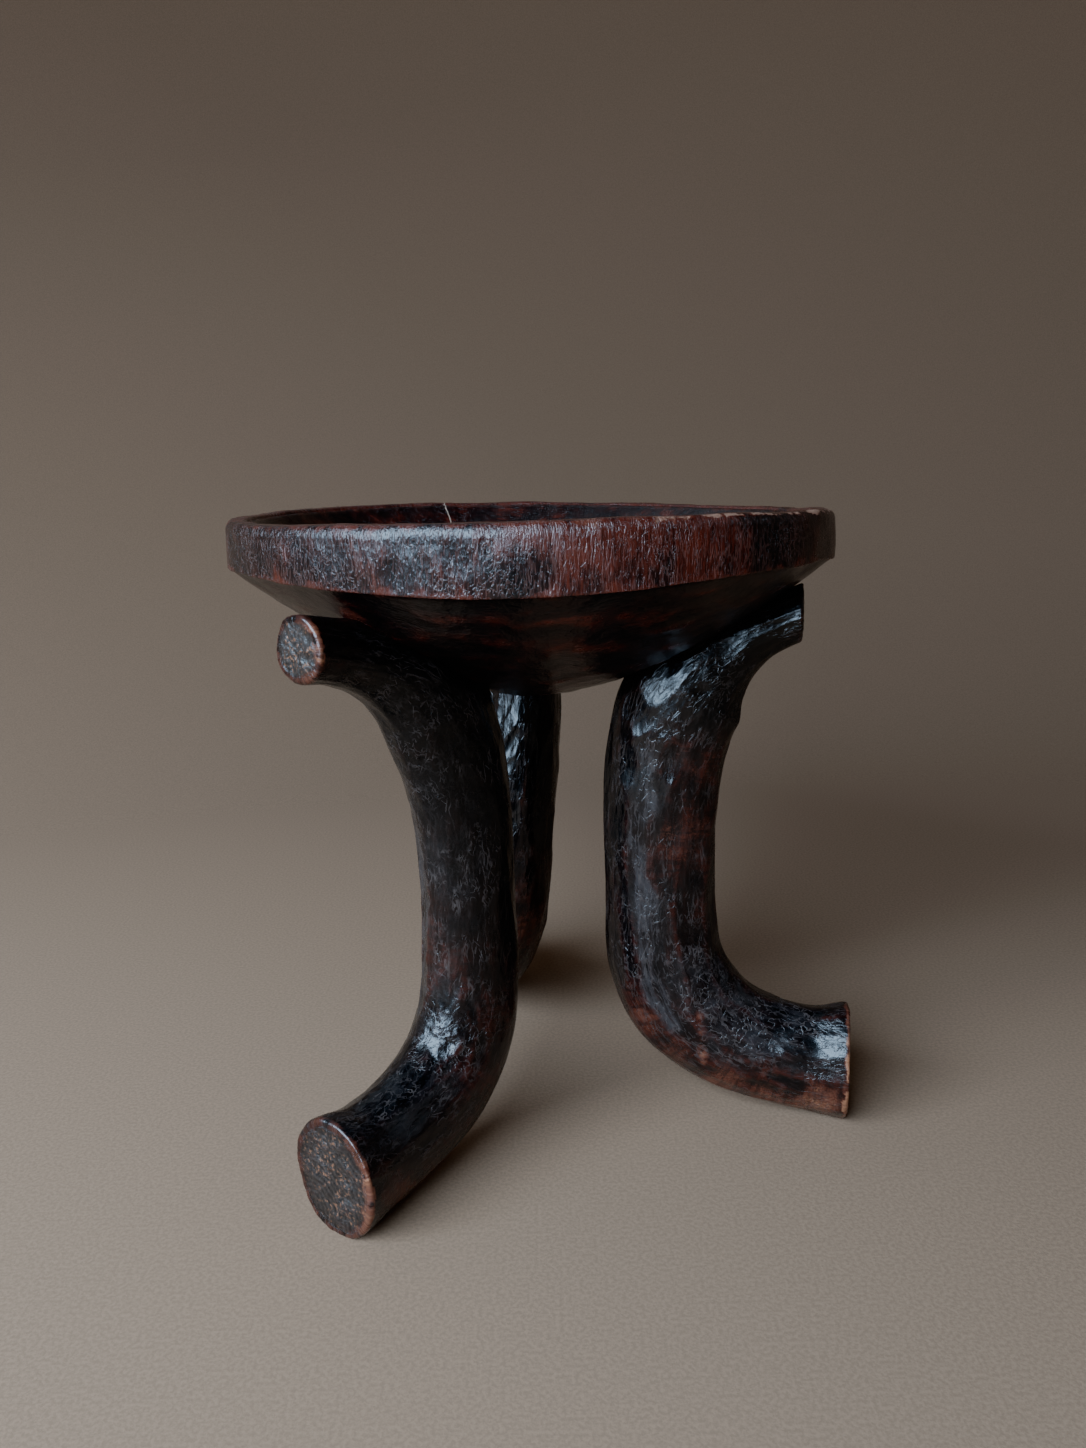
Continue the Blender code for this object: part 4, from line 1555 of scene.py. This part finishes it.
LEFT_SPOTS = (
    RubSpot((-0.0588, -0.0545, 0.1300), 0.034, 0.44),
    RubSpot((-0.0464, -0.0695, 0.1105), 0.034, 0.36),
    # Warm copper-brown on the low right side of the left foot: partly wear, partly painted bounce light from
    # the floor.
    RubSpot((-0.0640, -0.1180, 0.0140), 0.030, 0.72),
    RubSpot((-0.0520, -0.1060, 0.0160), 0.028, 0.62),
    RubSpot((-0.0310, -0.0794, 0.0457), 0.036, 0.42),
    RubSpot((-0.0182, -0.0622, 0.0794), 0.032, 0.38),
    RubSpot((-0.0460, -0.0889, 0.2440), 0.060, 0.65, Layer.SOOT),
    RubSpot((-0.0304, -0.0726, 0.2119), 0.060, 0.65, Layer.SOOT),
    RubSpot((-0.0275, -0.0676, 0.1659), 0.050, 0.30, Layer.SOOT),
    # Painted sheen on the left leg and foot, standing in for reflected light.
    RubSpot((-0.0471, -0.0695, 0.1519), 0.044, 0.16, Layer.HAZE),
    RubSpot((-0.0543, -0.0644, 0.1083), 0.036, 0.24, Layer.HAZE),
    RubSpot((-0.0541, -0.0889, 0.0600), 0.026, 0.34, Layer.HAZE),
    RubSpot((-0.0697, -0.1002, 0.0566), 0.028, 0.38, Layer.HAZE),
    RubSpot((-0.0819, -0.1138, 0.0549), 0.026, 0.34, Layer.HAZE),
    RubSpot((-0.0800, -0.0900, 0.0600), 0.040, 0.50, Layer.SOOT),
)
REAR_SPOTS = (
    RubSpot((-0.0064, 0.0405, 0.0779), 0.045, 0.66),
    RubSpot((-0.0086, 0.0331, 0.1060), 0.040, 0.50),
    RubSpot((0.0050, 0.0450, 0.1900), 0.060, 0.50, Layer.SOOT),
)

RIGHT_WORK = (
    AdzeWork(51, 0.0068, 0.040, 0.00100, 0.0100, 0.036, turn=6.0, kept=0.94),
    AdzeWork(54, 0.0072, 0.0125, 0.00120, 0.0100, 0.0130, turn=22.0, slant=22.0, facing=-108.0,
             spread=38.0, start=0.222, end=0.290),
    FlatStrip(-103.0, 0.0046, 0.00120, 0.085, 0.250, 0.0012, 61),
    AdzeWork(58, 0.0052, 0.0170, 0.00090, 0.0080, 0.0150, turn=14.0, facing=-74.0, spread=46.0,
             start=0.008, end=0.068),
)
LEFT_WORK = (
    AdzeWork(52, 0.0062, 0.034, 0.00046, 0.0090, 0.030, turn=7.0, kept=0.85),
    FlatStrip(-26.0, 0.0058, 0.00150, 0.105, 0.240, 0.0008, 62),
    AdzeWork(56, 0.0042, 0.0170, 0.00060, 0.0062, 0.0150, turn=12.0, facing=40.0, spread=28.0,
             start=0.050, end=0.140),
    # This strip carries no painted sheen.
    FlatStrip(3.0, 0.0036, 0.00060, 0.050, 0.142, 0.0006, 63, polish_and_sheen=0.0),
)
REAR_WORK = (
    AdzeWork(53, 0.0064, 0.020, 0.00100, 0.0090, 0.018, turn=12.0, kept=0.95),
    AdzeWork(55, 0.0062, 0.0120, 0.00165, 0.0085, 0.0120, turn=8.0, slant=26.0, facing=118.0, spread=34.0,
             start=0.110, end=0.262),
)
LEGS = (
    CarvedLeg(
        node="right_leg", azimuth=-11.3, foot_reach=0.1665, foot_height=0.0628, foot_bend=0.0970,
        heel_bend=0.0500, shaft_reach=0.0655, shaft_depth=0.0600, shaft_width=0.0460, neck_depth=0.0640,
        neck_drop=0.0110, stub_bend=0.0790, stub_rise=20.0, stub_reach=0.1365, stub_drop=0.0160,
        stub_depth=0.0280, stub_width=0.0300, seed=100, work=RIGHT_WORK, spots=RIGHT_SPOTS,
        worn_facing=-90.0, edge_rub=1.10, stub_rub=0.50, worn_width=0.0010,
    ),
    CarvedLeg(
        node="left_leg", azimuth=-128.0, foot_reach=0.1570, foot_height=0.0580, foot_bend=0.1030,
        heel_bend=0.0560, shaft_reach=0.0575, shaft_depth=0.0530, shaft_width=0.0440, neck_depth=0.0615,
        stub_bend=0.0900, stub_rise=8.0, stub_reach=0.1560, stub_drop=0.0252,
        stub_depth=0.0290, stub_width=0.0290, seed=200, work=LEFT_WORK, spots=LEFT_SPOTS,
    ),
    CarvedLeg(
        node="rear_leg", azimuth=104.5, lean=-6.0, foot_reach=0.1600, foot_height=0.0620, foot_bend=0.0950,
        heel_bend=0.0240, shaft_reach=0.0620, shaft_depth=0.0570, shaft_width=0.0480, neck_depth=0.0610,
        neck_drop=0.0060, stub_bend=0.0850, stub_rise=14.0, stub_reach=0.1460, stub_drop=0.0223,
        stub_depth=0.0290, stub_width=0.0300, seed=300, work=REAR_WORK, spots=REAR_SPOTS,
    ),
)


@dataclass(frozen=True)
class SoftLight:
    """A soft rectangular studio light that looks at a point."""

    name: str
    place: tuple[float, float, float]
    aim: tuple[float, float, float]
    size: tuple[float, float]
    power: float
    colour: tuple[float, float, float]

    def hang(self) -> bpy.types.Object:
        """Put the light into the scene."""
        lamp = bpy.data.lights.new(self.name, "AREA")
        lamp.shape = "RECTANGLE"
        lamp.size, lamp.size_y = self.size
        lamp.energy = self.power
        lamp.color = self.colour
        hung = bpy.data.objects.new(self.name, lamp)
        hung.location = self.place
        hung.visible_camera = False
        hung.rotation_euler = (Vector(self.aim) - Vector(self.place)).to_track_quat("-Z", "Y").to_euler()
        bpy.context.scene.collection.objects.link(hung)
        return hung


@dataclass
class Studio:
    """A pale sweep all round the stool, a large light at the front left, weaker ones, and the camera."""

    floor_centre: tuple[float, float, float] = (0.20, -1.50, 0.0)
    floor_radius: float = 2.10
    sweep_radius: float = 1.70
    wall_height: float = 2.8
    sweep_steps: int = 32
    turn_steps: int = 96
    tooth_shade: float = 0.80
    tooth_height: float = 0.00004
    paper_rough: float = 0.9
    paper_specular: float = 0.2
    floor_colour: Colour = (0.325, 0.201, 0.128, 1.0)
    world_colour: Colour = (0.30, 0.26, 0.23, 1.0)
    world_strength: float = 0.04
    exposure: float = 1.0
    camera_place: tuple[float, float, float] = (0.0040, -0.5688, 0.3398)
    camera_pitch: float = 12.67
    camera_roll: float = -1.27
    focal_pixels: float = 1100.0
    image_height: float = 1448.0
    sensor: float = 36.0
    lights: tuple[SoftLight, ...] = (
        SoftLight("window", (-0.90, -1.07, 0.83), (-0.1, 0.0, 0.15), (1.50, 0.90), 72.0, WINDOW_BLUE),
        SoftLight("fill", (1.60, -0.62, 1.10), (0.0, 0.0, 0.15), (1.4, 1.0), 1.1, (0.80, 0.90, 1.0)),
        SoftLight("top", (-0.60, 0.90, 1.75), (0.0, 0.0, 0.15), (1.5, 1.5), 2.4, (0.70, 0.86, 1.0)),
        SoftLight("front_wall", (0.20, -2.30, 2.20), (0.20, -4.60, 0.30), (2.6, 1.0), 54.0, WALL_BLUE),
        SoftLight("left_wall", (-1.70, -0.90, 2.30), (-3.60, -0.90, 0.60), (1.0, 2.4), 38.0, WALL_BLUE),
    )

    def build_floor(self) -> bpy.types.Object:
        """Spin the sweep: a flat floor that curves up into a wall all round.

        Returns:
            The floor.
        """
        bm = bmesh.new()
        section = [(0.0, 0.0), (self.floor_radius, 0.0)]
        for step in range(1, self.sweep_steps + 1):
            angle = math.pi / 2.0 * step / self.sweep_steps
            section.append((self.floor_radius + self.sweep_radius * math.sin(angle),
                            self.sweep_radius * (1.0 - math.cos(angle))))
        section.append((self.floor_radius + self.sweep_radius, self.wall_height))
        middle = Vector(self.floor_centre)
        verts = [bm.verts.new(middle + Vector((reach, 0.0, height))) for reach, height in section]
        edges = [bm.edges.new(pair) for pair in zip(verts, verts[1:])]
        bmesh.ops.spin(
            bm, geom=verts + edges, cent=middle, axis=(0.0, 0.0, 1.0),
            angle=2.0 * math.pi, steps=self.turn_steps, use_merge=True,
        )
        bmesh.ops.remove_doubles(bm, verts=bm.verts, dist=0.0001)
        bmesh.ops.recalc_face_normals(bm, faces=bm.faces)
        for face in bm.faces:
            face.smooth = True
        mesh = bpy.data.meshes.new("pale_sweep")
        bm.to_mesh(mesh)
        bm.free()
        floor = bpy.data.objects.new("pale_sweep", mesh)
        bpy.context.scene.collection.objects.link(floor)
        mesh.materials.append(self.floor_material())
        return floor

    def floor_material(self) -> bpy.types.Material:
        """Matt pale paper with a faint tooth."""
        made, sheet = Sheet.of_material("pale_paper")
        tooth = PAPER_CLOUD.place(sheet, sheet.node("TexCoord").outputs["Object"])
        darker = (*(self.tooth_shade * part for part in self.floor_colour[:3]), 1.0)
        sheet.surface(sheet.times(tooth, self.tooth_height), {
            "Base Color": sheet.blend(tooth, darker, self.floor_colour), "Roughness": self.paper_rough,
            "Specular IOR Level": self.paper_specular,
        })
        return made

    def build_world(self) -> None:
        """Give faint warm light from all round, and set how the picture is developed."""
        world = bpy.data.worlds.new("studio_air")
        world.use_nodes = True
        air = world.node_tree.nodes["Background"]
        air.inputs["Color"].default_value = self.world_colour
        air.inputs["Strength"].default_value = self.world_strength
        bpy.context.scene.world = world
        view = bpy.context.scene.view_settings
        view.view_transform = "AgX"
        view.look = "AgX - Punchy"
        view.exposure = self.exposure

    def build_camera(self, shift: np.ndarray) -> bpy.types.Object:
        """Stand the camera where the stool was seen from.

        Args:
            shift: Where the seat's axis stands in the frame.

        Returns:
            The camera.
        """
        lens = bpy.data.cameras.new("camera")
        lens.sensor_width = self.sensor
        lens.lens = self.sensor * self.focal_pixels / self.image_height
        camera = bpy.data.objects.new("camera", lens)
        pitch, roll = math.radians(self.camera_pitch), math.radians(self.camera_roll)
        right = Vector((1.0, 0.0, 0.0))
        upward = Vector((0.0, math.sin(pitch), math.cos(pitch)))
        ahead = Vector((0.0, math.cos(pitch), -math.sin(pitch)))
        turned = right * math.cos(roll) + upward * math.sin(roll)
        tilted = upward * math.cos(roll) - right * math.sin(roll)
        camera.matrix_world = Matrix.Translation(Vector(self.camera_place) + Vector(shift)) @ Matrix(
            (turned, tilted, -ahead)).transposed().to_4x4()
        bpy.context.scene.collection.objects.link(camera)
        bpy.context.scene.camera = camera
        return camera

    def build(self, shift: np.ndarray) -> None:
        """Set up the floor, the light and the camera."""
        self.build_floor()
        self.build_world()
        for light in self.lights:
            light.hang()
        self.build_camera(shift)


def main() -> None:
    """Build the studio, the seat and the legs."""
    logging.basicConfig(level=logging.INFO, format="%(name)s: %(message)s")
    shift = seat_axis()
    Studio().build(shift)
    effects = Effects.build()
    seat = CarvedSeat(spots=SEAT_SPOTS)
    seat.dress(replace(SEAT_FINISH, crack=seat.crack()).material(effects), shift)
    leg_finish = LEG_FINISH.material(effects)
    for leg in LEGS:
        leg.dress(seat, leg_finish, shift)


if __name__ == "__main__":
    main()
